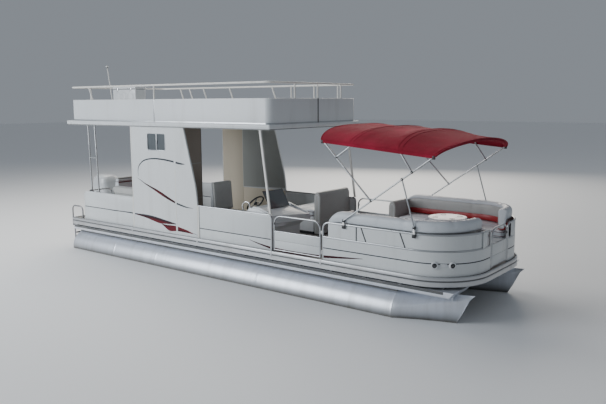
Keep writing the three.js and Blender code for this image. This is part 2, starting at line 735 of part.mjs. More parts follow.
const acrossSteps = [-1, -0.985, -0.93, -0.83, -0.68, -0.45, -0.15, 0.15, 0.45, 0.68, 0.83, 0.93, 0.985, 1];

function canopyCloth() {
  const stations = [0, 0.13, 0.27, 0.48, 0.68, 0.84, 1];
  return loft(stations.map((s) => [
    ...acrossSteps.map((t) => canopyPoint(s, t)),
    ...acrossSteps.slice().reverse().map((t) => canopyPoint(s, t, fabric)),
  ].reverse()));
}

// A fitting of the frame on the outer side of the fence rail
function sideFitting(x0, x1, side, z0, z1) {
  const inner = fenceFace - railRadius * (1 - flatOf) + seat;
  const starboard = box(x0, x1, -(canopyY + 9), -inner, z0, z1);
  return side < 0 ? starboard : mirrored(starboard);
}

function canopyFrame() {
  const low = fabric + bowTube + 8;
  const over = (s) => acrossSteps.map((t) => canopyPoint(s, t, low));
  const bows = [
    // station on the canopy, foot x, foot z
    [0.985, 6530, 665],
    [0.015, 6996, 1016],
    [0.27, 6397, 1610],
    [0.72, 7650, 1480],
  ].map(([s, x, z]) => {
    const top = over(s);
    const foot = (side) => new THREE.Vector3(x, side * canopyY, z);
    return tube([foot(-1), ...top, foot(1)], bowTube);
  });
  const struts = [-1, 1].flatMap((side) => [
    tube([[7701, side * canopyY, 690], [7500, side * canopyY, 1370]], 10),
    sideFitting(6500, 6560, side, 540, 680),
    sideFitting(7672, 7732, side, 540, 705),
  ]);
  return join(...bows, ...struts);
}

place('canopy_frame', 'aluminium', canopyFrame());
place('canopy', 'canopy', canopyCloth());

// Helm: the dash slopes forward to a nose that is cut back on the starboard side, clear of the side gate's path
const helm = { y0: -fenceFace + 2 * railRadius + seat, y1: -420, nose: 5290, noseStart: 5052, top: 672 };
const dashFace = [[4440, 490], [4600, helm.top]];
const dashTop = [[4800, helm.top], [helm.nose - 20, 542]];
const consoleSide = [[4460, 0], [5050, 0], [5050, 335], [5120, 388], [helm.nose - 20, 432], [helm.nose, 485],
  dashTop[1], dashTop[0], dashFace[1], dashFace[0], [4440, 420], [4460, 380]];
const past = 10;                  // how far the cutter reaches over the console's ends
const noseCut = slab([[helm.noseStart, helm.y0 - past], [helm.nose, helm.y1 + past],
  [helm.nose + past, helm.y1 + past], [helm.nose + past, helm.y0 - past]], past, helm.top);
place('console', 'white', cut(sidePlate(consoleSide, helm.y0, helm.y1), noseCut));

const screen = { foot: 4874, thick: 12, aft: 160, rise: 272, y0: -1000, y1: -490 };

function screenFoot(x) {
  const share = (x - dashTop[0][0]) / (dashTop[1][0] - dashTop[0][0]);
  return [x, dashTop[0][1] + share * (dashTop[1][1] - dashTop[0][1]) + seat];
}

const screenFeet = [screenFoot(screen.foot), screenFoot(screen.foot + screen.thick)];
const screenTops = screenFeet.map(([x, z]) => [x - screen.aft, z + screen.rise]).reverse();
place('windscreen', 'glass', sidePlate([...screenFeet, ...screenTops], screen.y0, screen.y1));

const wheel = { x: 4415, y: -850, z: 685, radius: 165, tube: 13, hub: 30 };
const wheelAxis = new THREE.Vector3(dashFace[0][1] - dashFace[1][1], 0, dashFace[1][0] - dashFace[0][0]).normalize();
const wheelReach = new THREE.Vector3(wheel.x - dashFace[0][0], 0, wheel.z - dashFace[0][1]).dot(wheelAxis) - seat;

function steeringWheel() {
  const rim = new THREE.TorusGeometry(wheel.radius, wheel.tube, 8, 24);
  const hub = new THREE.CylinderGeometry(34, 34, wheel.hub, 12).rotateX(Math.PI / 2);
  const columnTop = wheel.hub / 2 - 2;
  const column = new THREE.CylinderGeometry(16, 16, wheelReach - columnTop, 12).rotateX(Math.PI / 2)
    .translate(0, 0, -(wheelReach + columnTop) / 2);
  const spokes = [90, 210, 330].map((deg) => new THREE.BoxGeometry(wheel.radius - 20, 26, 9)
    .translate(wheel.radius / 2, 0, 0).rotateZ(THREE.MathUtils.degToRad(deg)));
  return join(rim, hub, column, ...spokes);
}

const wheelMesh = place('steering_wheel', 'black', steeringWheel());
wheelMesh.position.set(wheel.x, wheel.y, wheel.z);
wheelMesh.quaternion.setFromUnitVectors(alongZ, wheelAxis);

const helmSeat = { x: 3760, y: -760, post: 340 };
place('helm_pedestal', 'aluminium', join(
  cylinder([helmSeat.x, helmSeat.y, 6], alongZ, 120, 12),
  cylinder([helmSeat.x, helmSeat.y, helmSeat.post / 2], alongZ, 36, helmSeat.post),
));
const seatProfile = [[-250, helmSeat.post + seat], [240, helmSeat.post + seat], [255, 400], [240, 480], [-140, 460], [-215, 1010], [-300, 1010],
  [-290, 500]];
const helmChair = place('helm_seat', 'vinyl', sidePlate(seatProfile, -250, 250));
helmChair.position.set(helmSeat.x, helmSeat.y, 0);

// Seats
const lounge = { base: 330, cushion: 455, inner: 640, front: 7760, gate: 425, padRoll: 622, padTop: 785 };
const seatBow = { front: 8360, corner: 701 };   // plan line of the seats' outer side, inside the bow fence
const cushionIn = 6;

function seatLine(inset, xStart, yEnd) {
  return bowLine(fenceFace - inset, seatBow.front - inset, seatBow.corner - inset, xStart, yEnd);
}

function loungeBand(outerInset, innerHalf, innerFront, x0, yEnd, z0, z1) {
  return band(seatLine(outerInset, x0, yEnd), bowLine(innerHalf, innerFront, 220, x0, yEnd, 5), z0, z1);
}

// Outline from the side of an upright back with its top corners cut off
function backOutline(x0, x1, top) {
  return [[x0, 0], [x1, 0], [x1, top - 40], [x1 - 30, top], [x0 + 30, top], [x0, top - 40]];
}

const loungeX = 6190;
const loungeArm = { x1: 6340, top: 715, inner: 600 };
const padThick = 150;
const padInner = -(fenceFace - padThick);

function bowLounge() {
  return join(
    loungeBand(fenceThick + 6, lounge.inner, lounge.front, loungeX, lounge.gate, 0, lounge.base),
    sidePlate(backOutline(loungeX, loungeArm.x1, loungeArm.top), padInner + seat, -loungeArm.inner),
  );
}

function bowCushion() {
  return loungeBand(fenceThick + 10, lounge.inner + cushionIn, lounge.front + cushionIn, loungeArm.x1 + cushionIn,
    lounge.gate + cushionIn, lounge.base + seat, lounge.cushion);
}

function bowPad() {
  const x0 = loungeX + 10;
  const y = lounge.gate + 8;
  return join(
    band(seatLine(35, x0, y), seatLine(padThick, x0, y), lounge.cushion + seat, lounge.padRoll + 20),
    band(seatLine(9, x0, y), seatLine(padThick, x0, y), lounge.padRoll - 8, lounge.padTop),
  );
}

placeBoth('lounge', 'white', bowLounge());
placeBoth('lounge_cushion', 'vinyl', bowCushion());
placeBoth('lounge_pad', 'vinyl', bowPad());

// Seat on the port side abaft its gate, with a full-width back
const inside = fenceFace - fenceThick - seat - 6;
const rearSeat = { x0: 4150, x1: 4830, back: 4985, backTop: 800, y0: 260 };
place('rear_seat', 'white', join(
  sidePlate(backOutline(rearSeat.x1, rearSeat.back, rearSeat.backTop), rearSeat.y0, inside),
  box(rearSeat.x0, rearSeat.x1 + 1, rearSeat.y0, inside, 0, lounge.base),
));
place('rear_seat_cushion', 'vinyl', box(rearSeat.x0 + 6, rearSeat.x1 - 2, rearSeat.y0 + 6, inside - 6,
  lounge.base + seat, lounge.cushion));

const sternBench = { x0: 36, x1: 600, y0: -490, y1: 440, back: 150, backTop: 810 };
place('stern_bench', 'white', join(
  box(sternBench.x0, sternBench.x1, sternBench.y0, sternBench.y1, 0, lounge.base),
  box(sternBench.x0, sternBench.back, sternBench.y0, sternBench.y1, lounge.base - 1, sternBench.backTop),
));
place('stern_bench_cushion', 'red', box(sternBench.back + 4, sternBench.x1 - 4, sternBench.y0 + 4, sternBench.y1 - 4,
  lounge.base + seat, lounge.cushion));

const aftSeat = { x0: 980, x1: 1600, y1: -650 };
const aftOuter = -(fenceFace - fenceThick - 6);
place('aft_seat', 'white', join(
  box(aftSeat.x0, aftSeat.x1, aftOuter, aftSeat.y1, 0, lounge.base),
  box(aftSeat.x0, aftSeat.x1, aftOuter, padInner, lounge.base - 1, lounge.padRoll + 20),
  box(aftSeat.x0, aftSeat.x1, -(fenceFace - 9), padInner, lounge.padRoll - 8, lounge.padTop),
));
place('aft_seat_cushion', 'red', box(aftSeat.x0 + 6, aftSeat.x1 - 6, padInner + 4, aftSeat.y1 - 6,
  lounge.base + seat, lounge.cushion));

// Table
const table = { x: 7500, y: 200, radius: 300, top: 620, thick: 26 };
const underTop = table.top - table.thick;
place('table', 'white', join(
  cylinder([table.x, table.y, 6], alongZ, 130, 12),
  cylinder([table.x, table.y, (underTop + 1) / 2], alongZ, 34, underTop + 1),
  cylinder([table.x, table.y, underTop + table.thick / 2], alongZ, table.radius, table.thick, 24),
));

export default boat;
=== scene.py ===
import bmesh
import bpy
from math import atan2, copysign, cos, exp, pi, radians, sin, sqrt, tan, tau
from mathutils import Matrix, Vector, noise


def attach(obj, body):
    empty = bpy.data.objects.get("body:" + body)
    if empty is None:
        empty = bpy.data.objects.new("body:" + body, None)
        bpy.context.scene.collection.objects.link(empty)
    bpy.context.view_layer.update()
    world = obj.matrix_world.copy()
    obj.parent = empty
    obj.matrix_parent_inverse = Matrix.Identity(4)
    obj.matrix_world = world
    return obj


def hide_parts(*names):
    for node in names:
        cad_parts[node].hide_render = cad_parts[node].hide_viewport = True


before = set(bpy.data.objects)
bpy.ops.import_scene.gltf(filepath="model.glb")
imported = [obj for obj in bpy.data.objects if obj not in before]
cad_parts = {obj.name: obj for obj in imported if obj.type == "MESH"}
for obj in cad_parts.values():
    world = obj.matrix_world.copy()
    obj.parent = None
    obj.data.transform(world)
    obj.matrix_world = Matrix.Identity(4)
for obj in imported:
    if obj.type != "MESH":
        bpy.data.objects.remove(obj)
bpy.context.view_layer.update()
scene = bpy.context.scene
print("frame loaded")

# Measures are in metres from the stern fence, the centre line and the top of the deck
fromDeck = Matrix.Translation((-3.607, 0, 0.95))
waterline = -0.655
up = Vector((0, 0, 1))
forward = Vector((1, 0, 0))
toPort = Vector((0, 1, 0))
sides = (("starboard", 1), ("port", -1))  # pieces are built to starboard, where y is below zero


# Finishes: their sockets can be added and multiplied

class Value:  # a socket that takes part in sums
    def __init__(self, finish, out):
        self.finish = finish
        self.out = out

    def maths(self, operation, first, second=0, clamp=False):
        return self.finish.node("ShaderNodeMath", {"operation": operation, "use_clamp": clamp},
            {0: first, 1: second})

    def clamped(self):
        return self.maths("ADD", self, 0, True)

    def between(self, low, high):  # 0 below low, 1 above high
        return self.finish.node("ShaderNodeMapRange", {"interpolation_type": "SMOOTHSTEP"},
            {0: self, 1: low, 2: high, 3: 0, 4: 1})


def operation(name, swapped):
    def work(self, other):
        return self.maths(name, other, self) if swapped else self.maths(name, self, other)
    return work


for sign, name in (("add", "ADD"), ("sub", "SUBTRACT"), ("mul", "MULTIPLY"), ("truediv", "DIVIDE"),
        ("pow", "POWER")):
    setattr(Value, f"__{sign}__", operation(name, False))
    setattr(Value, f"__r{sign}__", operation(name, True))


class Finish:
    def __init__(self, name, slotName, colour, roughness, metallic=0, **constants):
        self.material = bpy.data.materials.new(name)
        self.material.use_nodes = True
        self.tree = self.material.node_tree
        self.shader = self.tree.nodes["Principled BSDF"]
        self.slotName = slotName
        self.colour = (*colour, 1)
        self.set("Base Color", self.colour)
        self.set("Roughness", roughness)
        self.set("Metallic", metallic)
        for socket, value in constants.items():
            self.set(socket.replace("_", " "), value)
        self.places = self.node("ShaderNodeTexCoord", {}, {}, "Object")

    def node(self, kind, settings, inputs, output=0):
        made = self.tree.nodes.new(kind)
        for key, value in settings.items():
            setattr(made, key, value)
        for key, value in inputs.items():
            if isinstance(value, Value):
                self.tree.links.new(value.out, made.inputs[key])
            else:
                made.inputs[key].default_value = value
        return Value(self, made.outputs[output])

    def set(self, socket, value):
        if isinstance(value, Value):
            self.tree.links.new(value.out, self.shader.inputs[socket])
        else:
            self.shader.inputs[socket].default_value = value

    def scaled(self, stretch):
        return self.node("ShaderNodeMapping", {}, {"Vector": self.places, "Scale": stretch})

    def clouds(self, scale, detail=3, stretch=(1, 1, 1), rough=0.5):
        return self.node("ShaderNodeTexNoise", {}, {"Vector": self.scaled(stretch), "Scale": scale,
            "Detail": detail, "Roughness": rough})

    def axis(self, letter):
        return self.node("ShaderNodeSeparateXYZ", {}, {0: self.places}, letter)

    def mix(self, factor, first, second):
        return self.node("ShaderNodeMix", {"data_type": "RGBA"}, {0: factor, 6: first, 7: second}, 2)

    def tinted(self, factor, second, first=None):
        start = self.colour if first is None else first
        return self.mix(factor, start, (*second, 1))

    def bump(self, height, strength, distance):
        self.set("Normal", self.node("ShaderNodeBump", {}, {"Height": height, "Strength": strength,
            "Distance": distance}))

    def dressed(self, colour, roughness, *relief):
        self.set("Base Color", colour)
        self.set("Roughness", roughness)
        self.bump(*relief)
        return self


def painted(name, slotName, colour, roughness=0.34, dirt=(0.34, 0.33, 0.3), amount=0.35, **constants):
    made = Finish(name, slotName, colour, roughness, **constants)
    patches = made.clouds(1.3, 4)
    runs = made.clouds(2.2, 5, (2.6, 2.6, 0.25))
    specks = made.clouds(46, 2)
    soil = (runs.between(0.5, 0.78) * 0.6 + specks.between(0.62, 0.75) * 0.4) * amount
    shade = made.mix(patches, (*[c * 0.94 for c in colour], 1), (*[min(1, c * 1.04) for c in colour], 1))
    return made.dressed(made.tinted(soil, dirt, shade), roughness + soil * 0.35 + (patches - 0.5) * 0.12,
        made.clouds(210, 2) + patches * 3, 0.12, 0.0015)


def metal(name, slotName, colour, roughness=0.34, metallic=0.9, grain=(1, 1, 1), stain=(0.3, 0.29, 0.27),
        amount=0.4):
    made = Finish(name, slotName, colour, roughness, metallic)
    brushed = made.clouds(60, 3, grain)
    dull = made.clouds(3, 4, (1, 1, 0.6))
    mask = dull.between(0.48, 0.8) * amount
    return made.dressed(made.tinted(mask, stain), roughness + (brushed - 0.5) * 0.16 + mask * 0.3, brushed,
        0.1, 0.0008)


def vinyl(name, slotName, colour, roughness=0.46):
    made = Finish(name, slotName, colour, roughness, Coat_Weight=0.12, Coat_Roughness=0.35)
    leather = made.node("ShaderNodeTexVoronoi", {"feature": "DISTANCE_TO_EDGE"},
        {"Vector": made.places, "Scale": 230})
    creases = made.clouds(9, 5, (1, 1, 1), 0.6)
    worn = creases.between(0.5, 0.74)
    return made.dressed(made.tinted(worn * 0.35, [c * 0.72 + 0.02 for c in colour]),
        roughness + worn * 0.14 - leather.between(0, 0.08) * 0.06,
        leather.between(0, 0.12) * 0.5 + creases * 2.2, 0.22, 0.002)


def plastic(name, slotName, colour, roughness=0.42, **constants):
    made = Finish(name, slotName, colour, roughness, **constants)
    grit = made.clouds(260, 2)
    rubbed = made.clouds(6, 4).between(0.52, 0.76)
    return made.dressed(made.tinted(rubbed * 0.25, [c * 0.7 + 0.05 for c in colour]),
        roughness + rubbed * 0.18, grit, 0.16, 0.0008)


def pontoonFinish():
    made = Finish("pontoonMetal", "bare_aluminium", (0.7, 0.73, 0.79), 0.36, 0.6)
    runs = made.clouds(1.6, 3, (4, 1, 0.3))
    bands = made.clouds(0.8, 3, (0.3, 1, 3))
    fine = made.clouds(26, 2, (1, 1, 0.15))
    height = made.axis("Z")
    # darker, rougher and less metallic along the waterline
    nearWaterline = 1 - height.between(0.29, 0.36)
    # painted shade: the lower half of the tube is darkened, standing in for the dark water it reflects and
    # the shade under it
    paintedLowerShade = 1 - height.between(0.25, 0.5)
    patches = runs.between(0.45, 0.8) * 0.35 + bands.between(0.5, 0.8) * 0.2
    film = (patches + fine.between(0.45, 0.7) * 0.08).clamped()
    streaked = made.mix(film, made.colour, (0.4, 0.4, 0.4, 1))
    # the streaked colour darkened over the lower half: painted shade and painted reflection
    lowerShadedColour = made.mix(paintedLowerShade * (0.78 + runs * 0.22), streaked, (0.11, 0.105, 0.09, 1))
    waterlineDarkening = (nearWaterline * (0.35 + runs * 0.5)).clamped()
    made.set("Base Color", made.mix(waterlineDarkening, lowerShadedColour, (0.1, 0.09, 0.07, 1)))
    made.set("Roughness", 0.36 + film * 0.14 + waterlineDarkening * 0.25)
    made.set("Metallic", 0.62 - waterlineDarkening * 0.4 - film * 0.12)
    made.bump(made.clouds(1.4, 1, (1, 1, 0.6)) * 2 + made.clouds(90, 2) * 0.15, 0.06, 0.003)
    return made


def canvasFinish():
    made = Finish("canopyCanvas", "canopy_red", (0.24, 0.01, 0.03), 0.85, Specular_IOR_Level=0.08)
    acrossThreads = made.node("ShaderNodeTexWave", {"bands_direction": "X"},
        {"Vector": made.places, "Scale": 190})
    alongThreads = made.node("ShaderNodeTexWave", {"bands_direction": "Y"},
        {"Vector": made.places, "Scale": 190})
    faded = made.clouds(1.6, 5, (1, 1, 1), 0.6)
    folds = made.clouds(4.5, 4, (1.6, 0.5, 1))
    tone = made.mix(faded.between(0.4, 0.72), (0.23, 0.014, 0.03, 1), (0.33, 0.02, 0.046, 1))
    return made.dressed(tone, 0.7 + faded * 0.16, acrossThreads * 0.2 + alongThreads * 0.2 + folds * 4, 0.3,
        0.004)


def deckFinish():
    made = Finish("deckCarpet", "deck_board", (0.36, 0.345, 0.32), 0.9)
    loops = made.node("ShaderNodeTexVoronoi", {}, {"Vector": made.places, "Scale": 240})
    trodden = made.clouds(1.7, 5).between(0.42, 0.72)
    return made.dressed(made.mix(trodden * 0.7, made.colour, (0.25, 0.235, 0.215, 1)), 0.93 - trodden * 0.12,
        loops + made.clouds(30) * 0.6, 0.5, 0.003)


def treadFinish():
    made = Finish("roofTread", "white_panel", (0.6, 0.61, 0.61), 0.62)
    grit = made.node("ShaderNodeTexVoronoi", {}, {"Vector": made.places, "Scale": 120})
    trodden = made.clouds(1.5, 5).between(0.45, 0.72)
    return made.dressed(made.mix(trodden * 0.6, made.colour, (0.42, 0.42, 0.4, 1)), 0.66 - trodden * 0.14,
        grit, 0.4, 0.0015)


def glassFinish():
    made = Finish("tintedPane", "tinted_glass", (0.13, 0.145, 0.155), 0.07, 0, Specular_IOR_Level=0.8)
    dust = made.clouds(5, 5, (1, 1, 0.5))
    made.set("Roughness", 0.05 + dust.between(0.45, 0.8) * 0.2)
    made.set("Alpha", 0.8 + dust * 0.12)
    return made


white = painted("fencePaint", "white_panel", (0.66, 0.685, 0.69))
wallPaint = painted("wallPaint", "white_panel", (0.68, 0.7, 0.705), 0.36)
roofPaint = painted("roofPaint", "white_panel", (0.66, 0.685, 0.7), 0.33)
cream = painted("postPaint", "white_panel", (0.74, 0.73, 0.69), 0.36)
linerPale = painted("linerPale", "white_panel", (0.66, 0.585, 0.46), 0.6, amount=0.2)
linerDark = painted("linerDark", "brown_panel", (0.36, 0.375, 0.355), 0.6, (0.22, 0.21, 0.2), 0.3)
brownPanel = painted("headPanel", "brown_panel", (0.3, 0.255, 0.215), 0.55, (0.16, 0.14, 0.12), 0.3)
silver = metal("railMetal", "bare_aluminium", (0.46, 0.475, 0.49), 0.3, 0.92)
iron = metal("frameMetal", "dark_frame", (0.12, 0.122, 0.125), 0.5, 0.6)
ladderMetal = metal("ladderMetal", "stainless", (0.26, 0.26, 0.275), 0.34, 0.8)
bumperMetal = metal("rubRailMetal", "bare_aluminium", (0.55, 0.56, 0.575), 0.36, 0.75, (0.05, 1, 1))
steel = metal("stainlessSteel", "stainless", (0.74, 0.74, 0.74), 0.18, 1, amount=0.15)
pontoonMetal = pontoonFinish()
canvas = canvasFinish()
carpet = deckFinish()
roofTread = treadFinish()
tintedPane = glassFinish()
paleVinyl = vinyl("paleVinyl", "pale_vinyl", (0.6, 0.635, 0.67))
greyVinyl = vinyl("greyVinyl", "pale_vinyl", (0.4, 0.4, 0.385), 0.5)
redVinyl = vinyl("redVinyl", "red_vinyl", (0.33, 0.01, 0.014))
wineVinyl = vinyl("wineVinyl", "red_vinyl", (0.11, 0.016, 0.02))
moulding = plastic("whiteMoulding", "white_panel", (0.66, 0.675, 0.69), 0.3, Coat_Weight=0.2)
black = plastic("blackPlastic", "black_plastic", (0.018, 0.018, 0.02), 0.42)
dark = plastic("darkPlastic", "dark_frame", (0.07, 0.072, 0.076), 0.45)
motorPaint = plastic("motorPaint", "motor_grey", (0.5, 0.515, 0.53), 0.28, Coat_Weight=0.35)
gloss = plastic("motorBlack", "motor_grey", (0.03, 0.032, 0.036), 0.3, Coat_Weight=0.3)
redStripe = plastic("stripeRed", "red_vinyl", (0.115, 0.003, 0.01), 0.5, Specular_IOR_Level=0.2)
wineStripe = plastic("stripeWine", "red_vinyl", (0.038, 0.003, 0.007), 0.5, Specular_IOR_Level=0.2)
# dark graphic stripes; the same finish also fills the fence panels' gaps as painted shadow
darkStripeAndGapShade = plastic("stripeDarkAndGapShade", "dark_frame", (0.032, 0.036, 0.045), 0.5, Specular_IOR_Level=0.2)
darkLens = plastic("darkLens", "black_plastic", (0.014, 0.016, 0.02), 0.08, Coat_Weight=0.9)
lampGlass = plastic("lampGlass", "tinted_glass", (0.82, 0.84, 0.82), 0.12, Coat_Weight=0.8)
print("finishes made")


# Shapes

def linked(name, data):
    obj = bpy.data.objects.new(name, data)
    scene.collection.objects.link(obj)
    return obj


def outwards(bm, fill=False):
    if fill:
        bmesh.ops.holes_fill(bm, edges=[e for e in bm.edges if len(e.link_faces) == 1], sides=0)
    bmesh.ops.recalc_face_normals(bm, faces=bm.faces)


def nextRing(bm, ring, spot):  # grows the ring by one row, and spot says where each vertex goes
    grown = bmesh.ops.extrude_edge_only(bm, edges=ring)["geom"]
    new = {v for v in grown if isinstance(v, bmesh.types.BMVert)}
    for v in new:
        v.co = spot(v)
    return [e for e in grown if isinstance(e, bmesh.types.BMEdge) and set(e.verts) <= new]


def softened(bm, edge, steps=2, angle=28):
    limit = radians(angle)
    sharp = [e for e in bm.edges if len(e.link_faces) == 2 and e.calc_face_angle(0) > limit]
    bmesh.ops.bevel(bm, geom=sharp, offset=edge, offset_type="OFFSET", segments=steps, profile=0.5,
        affect="EDGES", clamp_overlap=True, material=-1)
    return bm


def block(x, y, z, edge=0, steps=2):
    bm = bmesh.new()
    bmesh.ops.create_cube(bm, size=1)
    bmesh.ops.scale(bm, vec=[b - a for a, b in (x, y, z)], verts=bm.verts)
    bmesh.ops.translate(bm, vec=[(a + b) / 2 for a, b in (x, y, z)], verts=bm.verts)
    return softened(bm, edge, steps) if edge else bm


def near(middle, reach):
    return middle - reach, middle + reach


def lifted(axis, a, b, c):  # a and b lie in the plane, c along its axis
    return {"x": (c, a, b), "y": (a, c, b), "z": (a, b, c)}[axis]


def plate(outline, axis, low, high, edge=0, steps=2, holes=()):
    bm = bmesh.new()
    for ring in (outline, *holes):
        verts = [bm.verts.new(lifted(axis, a, b, low)) for a, b in ring]
        for one, two in zip(verts, verts[1:] + verts[:1]):
            bm.edges.new((one, two))
    if holes:
        bmesh.ops.triangle_fill(bm, use_beauty=True, use_dissolve=True, edges=bm.edges)
    else:
        bmesh.ops.contextual_create(bm, geom=bm.edges[:])
    grown = bmesh.ops.extrude_face_region(bm, geom=bm.faces[:])
    bmesh.ops.translate(bm, vec=lifted(axis, 0, 0, high - low),
        verts=[v for v in grown["geom"] if isinstance(v, bmesh.types.BMVert)])
    outwards(bm)
    return softened(bm, edge, steps) if edge else bm


def sweep(profile, places, closed=False, caps=True):
    # every place is (origin, across, upward); the profile's points are laid out on it
    bm = bmesh.new()
    order = bm.verts.layers.int.new("order")

    def spot(place, number):
        a, b = profile[number]
        return place[0] + place[1] * a + place[2] * b

    verts = [bm.verts.new(spot(places[0], n)) for n in range(len(profile))]
    for n, v in enumerate(verts):
        v[order] = n
    ring = [bm.edges.new(pair) for pair in zip(verts, verts[1:] + verts[:1])]
    for place in places[1:] + (places[:1] if closed else []):
        ring = nextRing(bm, ring, lambda v: spot(place, v[order]))
    bm.verts.layers.int.remove(order)
    if closed:
        bmesh.ops.remove_doubles(bm, verts=bm.verts, dist=1e-5)
    outwards(bm, caps and not closed)
    return bm


def circle(radius, sides=12):
    return [(radius * cos(tau * n / sides), radius * sin(tau * n / sides)) for n in range(sides)]


def filleted(points, radius, steps=5):
    made = [Vector(points[0])]
    for before, corner, after in zip(points, points[1:], points[2:]):
        before, corner, after = Vector(before), Vector(corner), Vector(after)
        back, on = before - corner, after - corner
        turn = pi - back.angle(on, pi)
        if turn < 0.02:
            made.append(corner)
            continue
        reach = min(radius * tan(turn / 2), back.length * 0.49, on.length * 0.49)
        start, end = corner + back.normalized() * reach, corner + on.normalized() * reach
        weight = cos(turn / 2)
        for n in range(steps + 1):
            t = n / steps
            parts = ((1 - t) ** 2, 2 * weight * t * (1 - t), t * t)
            made.append((start * parts[0] + corner * parts[1] + end * parts[2]) / sum(parts))
    return [*made, Vector(points[-1])]


def along(points, closed=False):
    # places that follow a route through space, square to it and without twist
    count = len(points)
    points = [Vector(p) for p in points]
    tangents = []
    for n in range(count):
        before = points[n - 1] if closed or n else points[0]
        after = points[(n + 1) % count] if closed or n < count - 1 else points[-1]
        tangents.append((after - before).normalized())
    start = up if abs(tangents[0].z) < 0.9 else forward
    across = tangents[0].cross(start).normalized()
    places = []
    for n in range(count):
        if n:
            across = tangents[n - 1].rotation_difference(tangents[n]) @ across
        across = (across - tangents[n] * across.dot(tangents[n])).normalized()
        places.append((points[n], across, tangents[n].cross(across)))
    return places


def pipe(points, radius, bend=0, sides=12, closed=False, steps=5):
    route = filleted(points, bend, steps) if bend else points
    return sweep(circle(radius, sides), along(route, closed), closed)


def around(points, closed=False):
    # places on a level line, with the first axis square to it and to its right, and the second upward
    count = len(points)
    places = []
    for n, point in enumerate(points):
        here = Vector((*point, 0))
        before = Vector((*points[n - 1], 0)) if closed or n else here
        after = Vector((*points[(n + 1) % count], 0)) if closed or n < count - 1 else here
        into = (here - before).normalized() if here != before else (after - here).normalized()
        out = (after - here).normalized() if here != after else into
        middle = (into + out).normalized()
        side = Vector((middle.y, -middle.x, 0))
        places.append((here, side / max(0.3, middle.dot(out)), up))
    return places


def rod(start, end, radius, endRadius=None, sides=20, edge=0, steps=2):
    start, end = Vector(start), Vector(end)
    bm = bmesh.new()
    bmesh.ops.create_cone(bm, cap_ends=True, segments=sides, radius1=radius,
        radius2=radius if endRadius is None else endRadius, depth=(end - start).length)
    turn = up.rotation_difference((end - start).normalized()).to_matrix().to_4x4()
    bmesh.ops.transform(bm, matrix=Matrix.Translation((start + end) / 2) @ turn, verts=bm.verts)
    return softened(bm, edge, steps, 40) if edge else bm


def ball(centre, radius, stretch=(1, 1, 1), sides=20):
    bm = bmesh.new()
    bmesh.ops.create_uvsphere(bm, u_segments=sides, v_segments=sides // 2, radius=radius)
    bmesh.ops.scale(bm, vec=stretch, verts=bm.verts)
    bmesh.ops.translate(bm, vec=centre, verts=bm.verts)
    return bm


def lathed(profile, centre, axis=up, sides=32):
    # profile is (radius, height along the axis)
    bm = bmesh.new()
    verts = [bm.verts.new((r, 0, h)) for r, h in profile]
    edges = [bm.edges.new(pair) for pair in zip(verts, verts[1:])]
    bmesh.ops.spin(bm, geom=verts + edges, cent=(0, 0, 0), axis=(0, 0, 1), angle=tau, steps=sides,
        use_merge=True)
    bmesh.ops.remove_doubles(bm, verts=bm.verts, dist=1e-5)
    outwards(bm)
    turn = up.rotation_difference(Vector(axis).normalized()).to_matrix().to_4x4()
    bmesh.ops.transform(bm, matrix=Matrix.Translation(centre) @ turn, verts=bm.verts)
    return bm


def torus(centre, axis, ringRadius, radius, sides=40, tubeSides=10):
    ring = [(ringRadius + a, b) for a, b in circle(radius, tubeSides)]
    return lathed(ring + ring[:1], centre, axis, sides)


def mirrored(bm):
    bmesh.ops.scale(bm, vec=(1, -1, 1), verts=bm.verts)
    bmesh.ops.reverse_faces(bm, faces=bm.faces)
    return bm


def hoop(profile, plan):
    return sweep(profile, around(plan, closed=True), closed=True)


class Piece:  # gathers shapes, each with its finish, into one mesh that rides on a body
    def __init__(self, name, body="boat"):
        self.name = name
        self.body = body
        self.bm = bmesh.new()
        self.finishes = []

    def add(self, finish, *shapes):
        if finish not in self.finishes:
            self.finishes.append(finish)
        number = self.finishes.index(finish)
        for bm in shapes:
            for face in bm.faces:
                face.material_index = number
                face.smooth = True
            carried = bpy.data.meshes.new("carried")
            bm.to_mesh(carried)
            bm.free()
            self.bm.from_mesh(carried)
            bpy.data.meshes.remove(carried)
        return self

    def done(self, *nodes, angle=36, side=1, place=fromDeck):
        if side < 0:
            mirrored(self.bm)
        self.bm.transform(place)
        mesh = bpy.data.meshes.new(self.name)
        self.bm.to_mesh(mesh)
        self.bm.free()
        for finish in self.finishes:
            mesh.materials.append(finish.material)
        mesh.set_sharp_from_angle(angle=radians(angle))
        obj = linked(self.name, mesh)
        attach(obj, self.body)
        if nodes:
            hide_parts(*nodes)
        return obj


def bothSides(name, nodes, build):
    for label, side in (("starboard", -1), ("port", 1)):
        # built to starboard, which is where y is below zero
        build(f"{name}-{label}").done(*[f"{node}_{label}" for node in nodes], side=-side)
print("shape tools ready")

# Hull
pontoonLook = {
    "y": 0.953, "z": -0.62, "radius": 0.3255, "aft": -0.45, "seam": 7.38, "sides": 64,
    "welds": (0.94, 2.2, 4.77), "bead": 0.003,
    # angle from the top, then the stem's x and z
    "stem": ((0, 8.482, -0.222), (72, 8.414, -0.287), (92, 8.3, -0.52), (120, 8.203, -0.684),
             (150, 8.038, -0.828), (180, 7.8, -0.923)),
    "creases": (0, 72, 92, 180),
}


def stemAt(angle):
    steps = pontoonLook["stem"]
    for (a0, x0, z0), (a1, x1, z1) in zip(steps, steps[1:]):
        if angle <= a1:
            t = (angle - a0) / (a1 - a0)
            return Vector((x0 + t * (x1 - x0), 0, z0 + t * (z1 - z0)))


